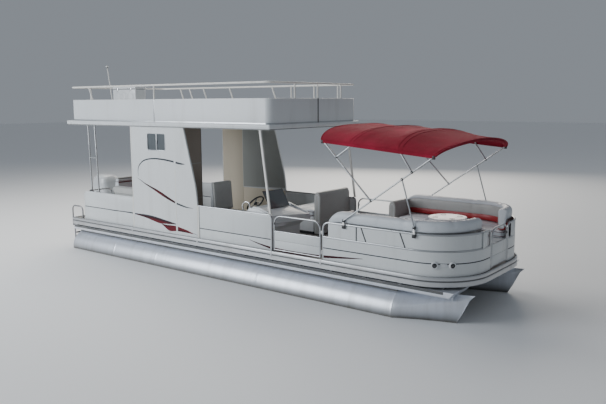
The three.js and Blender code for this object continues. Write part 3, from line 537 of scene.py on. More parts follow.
def noseRing(share):
    # round at the seam, faceted between the creases further on, and a thin stem at the end
    look = pontoonLook
    made = []
    for n in range(look["sides"]):
        turn = 360 * n / look["sides"]
        angle = min(turn, 360 - turn)
        side = 1 if turn > 180 else -1

        def onCircle(a):
            a = radians(a)
            return Vector((look["seam"], side * look["radius"] * sin(a), look["z"] + look["radius"] * cos(a)))

        for low, high in zip(look["creases"], look["creases"][1:]):
            if low <= angle <= high:
                t = (angle - low) / (high - low)
                flat = onCircle(low).lerp(onCircle(high), t).lerp(stemAt(angle), share)
        curved = onCircle(angle).lerp(stemAt(angle), share)
        made.append(curved.lerp(flat, min(1, share * 3.2) if angle < 150 else min(0.75, share * 2)))
    return made


def pontoon(name):
    look = pontoonLook
    part = Piece(name)
    ring = [(-look["radius"] * sin(tau * n / look["sides"]), look["radius"] * cos(tau * n / look["sides"]))
        for n in range(look["sides"])]
    across = toPort
    stations = [(look["aft"], 0.93), (look["aft"] + 0.012, 0.985), (look["aft"] + 0.03, 1),
        (look["aft"] + 0.08, 1)]
    for x in (*look["welds"], look["seam"] - 0.02):
        proud = 1 + look["bead"] / look["radius"]
        stations += [(x - 0.03, 1), (x - 0.012, 1), (x - 0.004, proud), (x + 0.004, proud), (x + 0.012, 1)]
        stations += [(x + 0.03, 1)] if x < look["seam"] - 0.05 else []
    places = [(Vector((x, 0, look["z"])), across * size, up * size) for x, size in stations]
    bm = sweep(ring, places, caps=False)
    # the nose carries on from the tube's last ring
    order = bm.verts.layers.int.new("order")
    last = sorted((v for v in bm.verts if v.co.x > look["seam"] - 0.01), key=lambda v: v.index)
    last.sort(key=lambda v: atan2(-v.co.y, v.co.z - look["z"]) % tau)
    for n, v in enumerate(last):
        v[order] = n
    edges = [bm.edges.get((a, b)) for a, b in zip(last, last[1:] + last[:1])]
    for share in (0, 0.06, 0.14, 0.25, 0.4, 0.6, 0.8, 0.93, 0.985):
        spots = noseRing(share)
        edges = nextRing(bm, edges, lambda v: spots[v[order]])
    bm.verts.layers.int.remove(order)
    outwards(bm, True)
    part.add(pontoonMetal, bm)
    stem = [Vector((x - 0.004, 0, z)) for _, x, z in look["stem"]]
    part.add(pontoonMetal, pipe(filleted(stem, 0.2), 0.007, sides=8))
    channel = plate([(-0.287, -0.155), (-0.287, -0.25), (0.287, -0.25), (0.287, -0.155)], "x", -0.42, 8.3)
    bmesh.ops.bevel(channel, geom=[e for e in channel.edges if abs(e.verts[0].co.x - e.verts[1].co.x) > 1
        and e.verts[0].co.z < -0.2], offset=0.036, offset_type="OFFSET", segments=5, profile=0.5,
        affect="EDGES", material=-1)
    for v in channel.verts:
        if v.co.x > 8:
            v.co.x -= 0.08 * (-0.155 - v.co.z) / 0.095
    part.add(pontoonMetal, channel)
    for y in (-0.2875, 0.2875):  # a dark strip on the channel's upper side, standing in for the shadow under the deck frame: painted shadow
        part.add(iron, block((-0.41, 8.15), near(y, 0.001), (-0.196, -0.156)))
    # a dark block in the gap between the channel's rounded lower edge and the tube: painted shade
    part.add(iron, block((-0.42, look["seam"] - 0.03), (-0.127, 0.127), (-0.345, -0.248)))
    for x in (-0.415, 8.2):
        part.add(pontoonMetal, block((x, x + 0.008), (-0.11, 0.11), (-0.32, -0.252), 0.002))
    bmesh.ops.translate(part.bm, vec=(0, -look["y"], 0), verts=part.bm.verts)
    return part


bothSides("pontoon", ["pontoon"], pontoon)
print("pontoons made")

# Plan lines round the deck
deckLook = {"half": 1.295, "front": 8.48, "corner": 0.813, "aft": -0.4}
fenceLook = {"face": 1.253, "front": 8.435, "corner": 0.776, "seatFront": 8.36, "seatCorner": 0.701,
    "top": 0.612, "tube": 0.016, "panelLine": 0.2, "midRail": 0.37, "bowGate": 0.312}


def bowPlan(half, front, corner, start, end, steps=14):
    # from the starboard side, round the bow's corner, to the middle of the front
    points = [(start, -half), (front - corner - 0.6, -half)] if start < front - corner - 0.7 else [(start,
        -half)]
    for n in range(steps + 1):
        a = pi / 2 * n / steps
        points.append((front - corner + corner * sin(a), -half + corner - corner * cos(a)))
    return [*points, (front, end)]


def fencePlan(inset, start, end):
    return bowPlan(fenceLook["face"] - inset, fenceLook["front"] - inset, fenceLook["corner"] - inset, start,
        end)


def seatPlan(inset, start, end):
    # the seats' outer side keeps its own line inside the bow fence
    return bowPlan(fenceLook["face"] - inset, fenceLook["seatFront"] - inset, fenceLook["seatCorner"] - inset,
        start, end)


def rubRail():
    look = deckLook
    half = bowPlan(look["half"], look["front"], look["corner"], look["aft"] + 0.05, 0)[:-1]
    corner = [(look["aft"] + 0.05 - 0.05 * sin(a), -look["half"] + 0.05 - 0.05 * cos(a))
        for a in (pi / 2, pi / 3, pi / 6)]
    side = corner + half
    plan = side + [(x, -y) for x, y in reversed(side)]
    profile = [(-0.024, 0.02), (-0.012, 0.02), (-0.003, 0.015), (0, 0.006), (0, -0.024), (-0.005, -0.03),
        (-0.005, -0.05), (0, -0.056), (0, -0.112), (-0.006, -0.12), (-0.024, -0.12)]
    # a dark strip along the floor of the groove: painted shade in the groove
    grooveShadeStrip = [(-0.0065, -0.031), (-0.0042, -0.031), (-0.0042, -0.049), (-0.0065, -0.049)]
    part = Piece("rub-rail")
    part.add(bumperMetal, hoop(profile, plan))
    part.add(iron, hoop(grooveShadeStrip, plan))
    part.done("rub_rail")


rubRail()
print("rub rail made")

# Fences
panelEdge = 0.0025
panelGap = 0.0075


def sidePanel(x0, x1, top, line, y0=-1.25, y1=-1.226, aftCorner=0, foreCorner=0):
    # two skins with a shadow line between them, and the corners that the rail bends over cut round
    def corner(x, radius, fore):
        spots = []
        for n in range(7):
            a = pi / 2 * n / 6
            spots.append((x - fore * radius * (1 - cos(a)), top - radius * (1 - sin(a))))
        return spots if fore > 0 else spots[::-1]

    upper = [(x0, line + panelGap), (x1, line + panelGap)]
    upper += corner(x1, foreCorner, 1) if foreCorner else [(x1, top)]
    upper += corner(x0, aftCorner, -1) if aftCorner else [(x0, top)]
    lower = [(x0, 0.002), (x1, 0.002), (x1, line - panelGap), (x0, line - panelGap)]
    return [plate(upper, "y", y0, y1, panelEdge), plate(lower, "y", y0, y1, panelEdge)]


def rivets(part, spots, out, radius=0.0045):
    out = Vector(out)
    for spot in spots:
        part.add(silver, rod(Vector(spot) - out * 0.001, Vector(spot) + out * 0.0018, radius, radius * 0.55,
            8))


def aftFence(name):
    part = Piece(name)
    y = -(fenceLook["face"] - 0.016)
    part.add(white, *sidePanel(0.018, 1.608, 0.59, 0.29, aftCorner=0.094))
    # a dark strip behind the gap between the two skins: painted shadow in the gap
    part.add(darkStripeAndGapShade, block((0.03, 1.6), (-1.2465, -1.2295), (0.27, 0.31)))
    part.add(white, pipe([(0.016, y, 0), (0.016, y, 0.596), (1.61, y, 0.596)], 0.016, 0.104, 16, steps=8))
    part.add(cream, block((1.59, 1.612), (-1.2535, -1.245), (0, 0.6), 0.002))
    part.add(wineStripe, block((0.05, 1.59), (-1.2508, -1.249), (0.006, 0.018)))
    rivets(part, [(x, -1.25, z) for x in (0.06, 0.45, 0.83, 1.21, 1.56) for z in (0.035, 0.265, 0.315)],
        (0, -1, 0))
    part.add(black, block((0.2, 0.32), (-1.244, -1.226), (0.6, 0.622), 0.006),
        block((0.42, 0.56), (-1.244, -1.226), (0.6, 0.622), 0.006))
    return part


def helmFence(part):
    y = -(fenceLook["face"] - 0.016)
    part.add(white, *sidePanel(3.402, 5.102, 0.59, fenceLook["panelLine"], foreCorner=0.054))
    # a dark strip behind the gap between the two skins: painted shadow in the gap
    part.add(darkStripeAndGapShade, block((3.41, 5.09), (-1.2465, -1.2295), (0.18, 0.22)))
    part.add(silver, pipe([(3.4, y, 0.596), (5.104, y, 0.596), (5.104, y, 0)], 0.016, 0.064, 16, steps=8))
    part.add(cream, block((3.386, 3.436), (-1.2555, -1.245), (0, 0.6), 0.002))
    part.add(iron, block((3.436, 3.444), (-1.2525, -1.245), (0.004, 0.585)))
    part.add(wineStripe, block((3.42, 5.08), (-1.2508, -1.249), (0.006, 0.018)))
    rivets(part, [(x, -1.25, z) for x in (3.44, 3.9, 4.35, 4.8, 5.07) for z in (0.035, 0.175, 0.225)],
        (0, -1, 0))


def bowFence(part):
    look = fenceLook
    end = -(look["bowGate"] + 0.016)
    start = 6.136

    def skin(inset, x0, y1, thick, z0, z1, finish):
        edge = 0.002
        profile = [(0, z0 + edge), (0, z1 - edge), (-edge, z1), (-thick + edge, z1), (-thick, z1 - edge),
            (-thick, z0 + edge), (-thick + edge, z0), (-edge, z0)]
        part.add(finish, sweep(profile, around(fencePlan(inset, x0, y1))))

    skin(0.003, start, end, 0.024, 0.002, look["panelLine"] - panelGap, white)
    skin(0.003, start, end, 0.024, look["panelLine"] + panelGap, 0.358, white)
    # a dark strip behind the gap between the two skins: painted shadow in the gap
    skin(0.0065, start + 0.005, end, 0.016, 0.18, 0.22, darkStripeAndGapShade)
    skin(0.0025, start + 0.02, end - 0.02, 0.002, 0.006, 0.018, wineStripe)
    skin(0.012, start + 0.1, end - 0.27, 0.01, 0.372, 0.592, white)
    rail = [(x, y, look["midRail"]) for x, y in fencePlan(0.016, start, end)]
    part.add(silver, pipe(rail, 0.0145, sides=12))
    top = [(x, y, 0.596) for x, y in fencePlan(0.016, start, end)]
    route = [(start, top[0][1], 0), *top, (top[-1][0], top[-1][1], 0)]
    first, last = filleted(route[:3], 0.104, 8), filleted(route[-3:], 0.104, 8)
    bent = first[:-1] + [Vector(p) for p in route[2:-3]] + last
    part.add(silver, pipe(bent, 0.016, sides=14))
    for head, foot in ((6.74, 6.74), (6.82, 6.91), (7.465, 7.557)):
        part.add(iron, rod((head, -1.24, 0.59), (foot, -1.24, 0.376), 0.01, sides=10))
    spots = [(x, -1.25, z) for x in (6.2, 6.57, 6.94, 7.31, 7.6) for z in (0.035, 0.175, 0.225, 0.34)]
    rivets(part, spots, (0, -1, 0))


def dockingLights(part):
    look = {"angles": (24.75, 42.75), "z": 0.18, "plate": 33.75}
    middle = Vector((fenceLook["front"] - fenceLook["corner"], -fenceLook["face"] + fenceLook["corner"],
        look["z"]))
    for degrees in look["angles"]:
        a = radians(degrees)
        out = Vector((sin(a), -cos(a), 0))
        spot = middle + out * fenceLook["corner"]
        part.add(moulding, lathed([(0, 0), (0.052, 0), (0.052, 0.008), (0.044, 0.026), (0.036, 0.028),
            (0.032, 0.012), (0, 0.01)], spot, out, 28))
        part.add(darkLens, lathed([(0, 0.008), (0.034, 0.008), (0.034, 0.015), (0.022, 0.021), (0, 0.023)],
            spot, out, 24))
    a = radians(look["plate"])
    out, over = Vector((sin(a), -cos(a), 0)), Vector((cos(a), sin(a), 0))
    spot = middle + out * (fenceLook["corner"] - 0.003)
    small = block((-0.045, 0.045), (-0.004, 0.004), (-0.024, 0.024), 0.003)
    small.transform(Matrix.Translation(spot) @ Matrix((over, -out, up)).transposed().to_4x4())
    part.add(moulding, small)


def gateLeaf(name, body, width, panelTop, corner, outward, turn, hinge):
    # in its own frame: hinge line at the origin and the leaf along x
    part = Piece(name, body)
    first, last = 0.026, width - 0.014
    part.add(silver, pipe([(first, 0, 0.03), (first, 0, 0.598), (last, 0, 0.598), (last, 0, 0.03)], 0.014,
        corner, 14, steps=9), rod((first, 0, 0.044), (last, 0, 0.044), 0.012, sides=12),
        rod((first, 0, panelTop), (last, 0, panelTop), 0.012, sides=12))
    for z0, z1 in ((0.046, 0.1985), (0.2015, panelTop - 0.004)):
        part.add(white, block((first + 0.008, last - 0.008), (-0.008, 0.008), (z0, z1), 0.002))
    # a dark strip behind the gap between the two panels: painted shadow in the gap
    part.add(darkStripeAndGapShade, block((first + 0.01, last - 0.01), (-0.005, 0.005), (0.19, 0.21)))
    for z in (0.12, 0.43):
        part.add(steel, rod((0, 0, z - 0.028), (0, 0, z + 0.028), 0.0088, sides=14, edge=0.002),
            block((0.004, first), (-0.003, 0.003), near(z, 0.02), 0.001))
    face = outward * 0.014
    part.add(black, block((last - 0.02, last + 0.004), (min(0, face), max(0, face)), (0.45, 0.49), 0.004))
    part.bm.transform(Matrix.Translation(hinge) @ Matrix.Rotation(turn, 4, "Z"))
    return part


bothSides("fence-aft", ["fence_aft"], aftFence)
helm = Piece("fence-helm-starboard")
helmFence(helm)
helm.done("fence_helm_starboard")
starboardBow = Piece("fence-bow-starboard")
bowFence(starboardBow)
dockingLights(starboardBow)
starboardBow.done("fence_bow_starboard")
port = Piece("fence-port")
helmFence(port)
bowFence(port)
port.add(silver, block((5.105, 6.135), (-1.2448, -1.2292), (0.0003, 0.0118), 0.002))
port.done("fence_port", side=-1)

gates = [  # name, body, width, top of its panel, corner, latch side, turn, hinge
    ("side", "side_gate", 0.958, 0.345, 0.13, 1, pi, (6.108, -1.237, 0)),
    ("port", "port_gate", 0.958, 0.345, 0.13, -1, pi, (6.108, 1.237, 0)),
    ("bow", "bow_gate", 0.6, 0.37, 0.13, -1, pi / 2, (8.419, -0.3, 0)),
    ("stern", "stern_gate", 0.65, 0.345, 0.1, -1, -pi / 2, (0.016, -0.548, 0)),
]
for name, *values in gates:
    gateLeaf(f"gate-{name}", *values).done(f"gate_{name}")


def sternFence():
    part = Piece("fence-stern")
    start = -0.536 + 0.016
    for z0, z1 in ((0.002, 0.2885), (0.2915, 0.59)):
        part.add(white, block((0.003, 0.027), (start + 0.016, 1.2215), (z0, z1), panelEdge))
    # a dark strip behind the gap between the two skins: painted shadow in the gap
    part.add(darkStripeAndGapShade, block((0.007, 0.023), (start + 0.02, 1.22), (0.27, 0.31)))
    part.add(white, pipe([(0.016, start, 0), (0.016, start, 0.596), (0.016, 1.2215, 0.596)], 0.016, 0.04, 14))
    part.done("fence_stern")


sternFence()
print("fences made")

# Cabin
wallLook = {"aft": 1.6105, "front": 3.3995, "under": 1.9645, "outer": -1.2528, "inner": -1.2235,
    "frontEdge": ((3.3995, 0.6), (3.35, 0.966), (3.2, 1.525), (3.0815, 1.9645)),
    "window": (2.1, 2.6, 1.53, 1.85, 0.045), "divider": 2.345}


def smoothLine(points, steps=8):
    # Catmull-Rom through the given points
    points = [Vector(p) for p in points]
    ends = [points[0] * 2 - points[1], *points, points[-1] * 2 - points[-2]]
    made = []
    for a, b, c, d in zip(ends, ends[1:], ends[2:], ends[3:]):
        for n in range(steps):
            t = n / steps
            curve = 2 * b + (c - a) * t + (2 * a - 5 * b + 4 * c - d) * t * t
            made.append(0.5 * (curve + (3 * b - a - 3 * c + d) * t ** 3))
    return [*made, points[-1]]


def roundedBox(x0, x1, z0, z1, radius, steps=5):
    made = []
    for cx, cz, quarter in ((x1 - radius, z1 - radius, 0), (x0 + radius, z1 - radius, 1),
            (x0 + radius, z0 + radius, 2), (x1 - radius, z0 + radius, 3)):
        for n in range(steps + 1):
            a = pi / 2 * (quarter + n / steps)
            made.append((cx + radius * cos(a), cz + radius * sin(a)))
    return made


def corners(x0, x1, low, high):
    return [(x0, low), (x1, low), (x1, high), (x0, high)]


def cabinWall(name):
    look = wallLook
    part = Piece(name)
    x0, x1, z0, z1, corner = look["window"]
    edge = [tuple(p) for p in smoothLine([Vector(p) for p in look["frontEdge"]], 6)]
    outline = [(look["aft"], 0), (look["front"], 0), *edge, (look["aft"], look["under"])]
    hole = roundedBox(x0, x1, z0, z1, corner)
    part.add(wallPaint, plate(outline, "y", look["outer"], look["inner"], holes=[hole]))
    ring = [Vector((x, (look["outer"] + look["inner"]) / 2, z)) for x, z in hole]
    rim = [(-0.003, -0.019), (0.007, -0.019), (0.007, 0.019), (-0.003, 0.019)]
    middle = Vector(((x0 + x1) / 2, 0, (z0 + z1) / 2))
    places = []
    for place in along(ring, closed=True):
        outward = place[0] - middle
        tangent = place[1].cross(place[2])
        side = toPort.cross(tangent).normalized()
        side = side if side.dot(outward) > 0 else -side
        places.append((place[0] - side * 0.004, side, toPort))
    part.add(silver, sweep(rim, places, closed=True))
    part.add(cream, block((look["aft"] - 0.001, look["aft"] + 0.022), (-1.2552, -1.222), (0, look["under"]),
        0.002), block((3.384, 3.3995), (-1.2555, -1.2528), (0, 0.6), 0.001),
        block((2.832, 2.85), (-1.2545, -1.252), (0.005, 1.215), 0.001))
    for low, high in ((2.62, 2.623), (2.7, 2.703), (2.78, 2.783)):
        part.add(white, block((low, high), (-1.2534, -1.252), (1.24, 1.95), 0.0005))
    part.add(wineStripe, block((1.64, 2.83), (-1.2534, -1.252), (0.006, 0.018)),
        block((2.85, 3.38), (-1.2534, -1.252), (0.006, 0.018)))
    edgeTrim = [Vector((x - 0.004, (look["outer"] + look["inner"]) / 2, z)) for x, z in edge]
    trim = [(-0.004, -0.0165), (0.0035, -0.0165), (0.0035, 0.0165), (-0.004, 0.0165)]
    places = []
    for place in along(edgeTrim):
        tangent = (place[1].cross(place[2])).normalized()
        tangent = tangent if tangent.z > 0 else -tangent
        places.append((place[0], Vector((tangent.z, 0, -tangent.x)), toPort))
    part.add(cream, sweep(trim, places))
    spots = [(x, -1.2528, z) for x in (1.66, 2.24, 2.8, 2.88, 3.36) for z in (0.05, 0.32, 0.56)]
    spots += [(x, -1.2528, 1.94) for x in (1.66, 1.95, 2.25, 2.55, 2.85, 3)]
    rivets(part, spots, (0, -1, 0))
    return part


def cabinWindow(name):
    look = wallLook
    part = Piece(name)
    x0, x1, z0, z1, _ = look["window"]
    inset = 0.006
    half = look["divider"]
    left = roundedBox(x0 + inset, half + 0.004, z0 + inset, z1 - inset, 0.02)
    right = roundedBox(half - 0.004, x1 - inset, z0 + inset, z1 - inset, 0.02)
    part.add(tintedPane, plate(left, "y", -1.2425, -1.2385), plate(right, "y", -1.2365, -1.2325))
    part.add(silver, block(near(half, 0.011), (-1.2485, -1.229), (z0 + 0.003, z1 - 0.003), 0.003))
    for low, high in ((z0 + 0.003, z0 + 0.013), (z1 - 0.013, z1 - 0.003)):
        part.add(silver, block((x0 + 0.03, x1 - 0.03), (-1.2455, -1.2295), (low, high), 0.002))
    part.add(black, block((half + 0.013, half + 0.021), (-1.2475, -1.2405), (1.66, 1.72), 0.002))
    return part


bothSides("cabin-wall", ["cabin_wall"], cabinWall)
bothSides("cabin-window", ["cabin_window"], cabinWindow)


def ribbon(stripe, y, thick=0.0006, steps=8):
    points = smoothLine([Vector((x / 1000, 0, z / 1000)) for x, z, _ in stripe], steps)
    spread = smoothLine([Vector((w / 1000, 0, 0)) for _, _, w in stripe], steps)
    upper, lower = [], []
    for n, point in enumerate(points):
        ahead = (points[min(n + 1, len(points) - 1)] - points[max(n - 1, 0)]).normalized()
        side = Vector((-ahead.z, 0, ahead.x)) * max(0.0006, spread[n].x / 2)
        upper.append(((point + side).x, (point + side).z))
        lower.append(((point - side).x, (point - side).z))
    bm = plate(lower + upper[::-1], "y", y - thick, y)
    bmesh.ops.triangulate(bm, faces=[f for f in bm.faces if len(f.verts) > 4])
    return bm


sideStripes = [  # finish, layer, then x, z and width in millimetres at each point
    ("dark", 0, [(1802, 1022, 4), (1797, 1105, 11), (1813, 1190, 17), (1864, 1258, 21), (1959, 1322, 24),
        (2088, 1360, 24), (2268, 1380, 26), (2443, 1380, 28), (2615, 1369, 30), (2815, 1348, 32)]),
    ("dark", 0, [(2863, 1338, 35), (2965, 1324, 33), (3047, 1319, 22), (3112, 1319, 2)]),
    ("dark", 0, [(1754, 995, 2), (1863, 954, 10), (1988, 897, 18)]),
    ("wine", 1, [(1920, 929, 6), (1988, 898, 19), (2147, 844, 31), (2305, 791, 47), (2460, 733, 56),
        (2613, 675, 51), (2747, 629, 42), (2820, 605, 35)]),
    ("red", 2, [(2250, 800, 2), (2330, 776, 20), (2460, 726, 24), (2560, 686, 2)]),
    ("dark", 0, [(2858, 592, 32), (2996, 565, 30), (3126, 545, 20), (3296, 539, 2)]),
    ("dark", 0, [(900, 276, 2), (1164, 288, 13), (1361, 292, 19), (1515, 292, 24), (1590, 292, 25)]),
    ("dark", 0, [(1650, 289, 25), (1682, 287, 27), (1839, 285, 34), (2023, 282, 42), (2203, 268, 50),
        (2380, 248, 50), (2520, 234, 42), (2658, 223, 30), (2822, 208, 14)]),
    ("wine", 1, [(1682, 283, 16), (1839, 272, 26), (2023, 256, 42), (2203, 236, 68), (2380, 215, 82),
        (2520, 210, 58), (2658, 208, 36), (2822, 204, 8)]),
    ("red", 2, [(2060, 243, 2), (2203, 222, 34), (2380, 200, 50), (2520, 197, 26), (2640, 200, 2)]),
    ("red", 1, [(2420, 168, 2), (2516, 143, 45), (2601, 122, 91), (2661, 115, 110), (2739, 119, 106),
        (2824, 126, 94)]),
    ("wine", 2, [(2420, 170, 2), (2516, 160, 18), (2601, 150, 24), (2661, 140, 4)]),
    ("red", 1, [(2868, 124, 86), (2975, 115, 70), (3107, 103, 50), (3221, 86, 25), (3290, 77, 2)]),
    ("wine", 2, [(2868, 100, 22), (2975, 95, 20), (3107, 88, 16), (3200, 80, 2)]),
    ("dark", 0, [(3230, 100, 2), (3345, 72, 6), (3385, 64, 5)]),
]
stripeFinish = {"dark": darkStripeAndGapShade, "wine": wineStripe, "red": redStripe}


def stripes(name):
    part = Piece(name)
    for tone, layer, stripe in sideStripes:
        face = -1.25 if stripe[-1][0] < 1600 else -1.2528
        part.add(stripeFinish[tone], ribbon(stripe, face - 0.0004 * layer))
    return part


shortStripes = [("helm", -1.25, [(4620, 142, 4), (4800, 106, 18), (4970, 78, 28), (5085, 62, 36)]),
    ("gate", -1.245, [(5180, 54, 44), (5400, 42, 50), (5700, 42, 48), (6066, 54, 40)]),
    ("bow", -1.25, [(6152, 64, 40), (6350, 80, 34), (6580, 100, 24), (6860, 126, 6)])]
for label, side in sides:
    stripes(f"stripes-{label}").done(side=side)
for label, side, gate in (("starboard", 1, "side_gate"), ("port", -1, "port_gate")):
    for name, face, stripe in shortStripes:
        part = Piece(f"stripe-{name}-{label}", gate if name == "gate" else "boat")
        part.add(wineStripe, ribbon(stripe, face)).done(side=side)


def portLiner():
    # boards on the wall's inner face, with a closed blind over the window
    inner = -wallLook["inner"]
    part = Piece("cabin-liner-port")
    part.add(linerPale, block((1.63, 2.214), (inner - 0.006, inner - 0.0003), (0.004, 1.955), 0.0015))
    edge = smoothLine([Vector(p) for p in wallLook["frontEdge"]], 6)
    outline = [(2.22, 0.61), *[(p.x - 0.012, min(p.y, 1.955)) for p in edge if p.y > 0.61], (2.22, 1.955)]
    # the darker board stands in for this part of the wall in shade: painted shade
    part.add(linerDark, plate(outline, "y", inner - 0.006, inner - 0.0003, 0.0015))
    part.add(cream, block((2.211, 2.223), (inner - 0.008, inner - 0.0003), (0.61, 1.955), 0.001))
    part.add(linerPale, block((2.22, 3.38), (inner - 0.006, inner - 0.0003), (0.004, 0.598), 0.0015))
    part.done()


portLiner()
print("cabin walls and stripes made")


def headRoom():
    part = Piece("head-compartment")
    outer, aft, front, inner, thick = -1.2227, 1.6103, 2.83, -0.575, 0.025
    door0, door1, doorTop, ceiling = 2, 2.604, 1.88, 1.965
    part.add(linerPale, block((aft, aft + thick), (outer, inner), (0, ceiling), 0.002))
    part.add(brownPanel, block((front - thick, front), (outer, inner), (0, ceiling), 0.002))
    outline = [(aft, 0), (door0, 0), (door0, doorTop), (door1, doorTop), (door1, 0), (front, 0),
        (front, ceiling), (aft, ceiling)]
    part.add(brownPanel, plate(outline, "y", inner - thick, inner, 0.0015))
    frameLine = [(door0 - 0.03, 0), (door0 - 0.03, doorTop + 0.03), (door1 + 0.03, doorTop + 0.03),
        (door1 + 0.03, 0), (door1, 0), (door1, doorTop), (door0, doorTop), (door0, 0)]
    part.add(linerDark, plate(frameLine, "y", inner, inner + 0.008, 0.0015))
    for x in (aft + 0.004, front - 0.012):
        part.add(cream, block((x, x + 0.008), (inner - 0.001, inner + 0.006), (0.01, ceiling - 0.01), 0.001))
    part.add(dark, block((door1 + 0.0003, door1 + 0.02), (inner - 0.002, inner + 0.015), (0.3, 1.7), 0.002))
    part.add(linerDark, block((front - 0.004, front + 0.002), (-1.2, -0.6), (0.62, 0.628), 0.001),
        block((front - 0.004, front + 0.002), (-1.2, -0.6), (1.28, 1.288), 0.001))
    part.done("head_compartment")
    leaf = Piece("head-door", "compartment_door")
    hinge = Vector((2.598, -0.566, 0))
    x0, x1 = -0.592, -0.006
    leaf.add(brownPanel, block((x0, x1), (-0.032, -0.01), (0.028, 1.872), 0.003))
    for low, high in ((0.14, 0.86), (0.96, 1.74)):
        leaf.add(linerDark, block((x0 + 0.08, x1 - 0.08), (-0.012, -0.008), (low, high), 0.002))
        leaf.add(brownPanel, block((x0 + 0.095, x1 - 0.095), (-0.0095, -0.0065), (low + 0.015, high - 0.015),
            0.0015))
    for z in (0.4, 1.5):
        leaf.add(steel, rod((0, 0, z - 0.04), (0, 0, z + 0.04), 0.0058, sides=12, edge=0.001),
            block((-0.032, -0.002), (-0.0112, -0.0045), near(z, 0.036), 0.001))
    leaf.add(steel, rod((x0 + 0.05, -0.012, 0.95), (x0 + 0.05, 0.004, 0.95), 0.009, sides=14),
        pipe([(x0 + 0.05, 0.003, 0.95), (x0 + 0.15, 0.004, 0.95)], 0.0055, sides=10),
        block((x0 + 0.03, x0 + 0.07), (-0.011, -0.0085), (0.88, 1), 0.001))
    leaf.bm.transform(Matrix.Translation(hinge))
    leaf.done("head_door")


headRoom()
print("head compartment made")

# Posts and roof
roofLook = {"aft": -0.41, "front": 5.137, "half": 1.295, "under": 1.965, "top": 2.052,
    "hatch": (0.3, 0.95, 0.52, 1.12), "panelAft": -0.311, "panelFront": 5.1, "panelHalf": 1.232,
    "panelTop": 2.468, "corner": 0.125, "railTop": 2.736, "railHalf": 1.225}


def leaningPosts(name, nodes, posts, bar):
    for label, side in sides:
        part = Piece(f"{name}-{label}")
        for foot, head, width in posts:
            outline = [(foot, 0.6125), (foot + width, 0.6125), (head + width, 1.9648), (head, 1.9648)]
            part.add(cream if bar is None else silver, plate(outline, "y", -1.251, -1.223,
                0.008 if bar is None else 0.009, 3))
            part.add(cream if bar is None else silver, block((foot - 0.02, foot + width + 0.02),
                (-1.254, -1.219), (0.6122, 0.6175), 0.002), block((head - 0.02, head + width + 0.02),
                (-1.254, -1.219), (1.959, 1.9648), 0.002))
        if bar:
            part.add(silver, rod((posts[0][1] + 0.036, -1.237, bar), (posts[1][1] + 0.024, -1.237, bar),
                0.011, sides=12))
            part.add(black, block((0.243, 0.295), (-1.256, -1.218), (0.618, 0.655), 0.006))
        part.done(f"{nodes}_{label}", side=side)


leaningPosts("post-forward", "post_forward", [(5.06, 4.862, 0.042)], None)
leaningPosts("post-aft", "post_aft", [(0.27, 0.232, 0.028), (0.5, 0.452, 0.028)], 1.31)


def rectangle(x0, x1, half, radius, steps=6):
    return roundedBox(x0, x1, -half, half, radius, steps)


def roofDeck():
    look = roofLook
    under = look["under"]
    part = Piece("roof-deck")
    hx0, hx1, hy0, hy1 = look["hatch"]
    hole = corners(hx0, hx1, hy0, hy1)
    inset = 0.03
    half = look["half"] - inset
    core = corners(look["aft"] + inset, look["front"] - inset, -half, half)
    part.add(roofPaint, plate(core, "z", under + 0.004, look["top"] - 0.004, holes=[hole]))
    half = look["panelHalf"] - inset
    tread = corners(look["panelAft"] + inset, look["panelFront"] - inset, -half, half)
    part.add(roofTread, plate(tread, "z", look["top"] - 0.005, look["top"], holes=[hole]))
    # the extrusion round the edge: a rounded nose above a narrow dark lip
    nose = [(-0.034, look["top"]), (-0.018, look["top"]), (-0.007, look["top"] - 0.004),
        (-0.001, look["top"] - 0.014), (0, look["top"] - 0.026), (0, under + 0.03), (-0.003, under + 0.02),
        (-0.01, under + 0.014), (-0.012, under + 0.004), (-0.016, under), (-0.034, under)]
    plan = rectangle(look["aft"], look["front"], look["half"], 0.03, 4)
    part.add(roofPaint, hoop(nose, plan))
    lip = [(-0.0145, under + 0.0135), (-0.0095, under + 0.0135), (-0.0105, under + 0.003),
        (-0.0145, under + 0.003)]
    part.add(iron, hoop(lip, plan))
    for x in (0.9, 1.58, 2.2, 2.86, 3.4, 4.1, 4.8):
        part.add(iron, block(near(x, 0.002), (-1.26, 0.51 if x < 1 else 1.26),
            (under + 0.002, under + 0.005)))
    for x0, x1, y0, y1 in ((hx0, hx1, hy0, hy0 + 0.012), (hx0, hx1, hy1 - 0.012, hy1),
            (hx0, hx0 + 0.012, hy0, hy1), (hx1 - 0.012, hx1, hy0, hy1)):
        part.add(silver, block((x0, x1), (y0, y1), (under + 0.001, look["top"]), 0.001))
    part.add(black, rod((2.05, 0.2, 1.9655), (2.05, 0.2, 1.9475), 0.06, 0.052, 24, 0.003))
    part.add(lampGlass, rod((2.05, 0.2, 1.95), (2.05, 0.2, 1.943), 0.045, 0.038, 24, 0.002))
    part.done("roof_deck")


roofDeck()


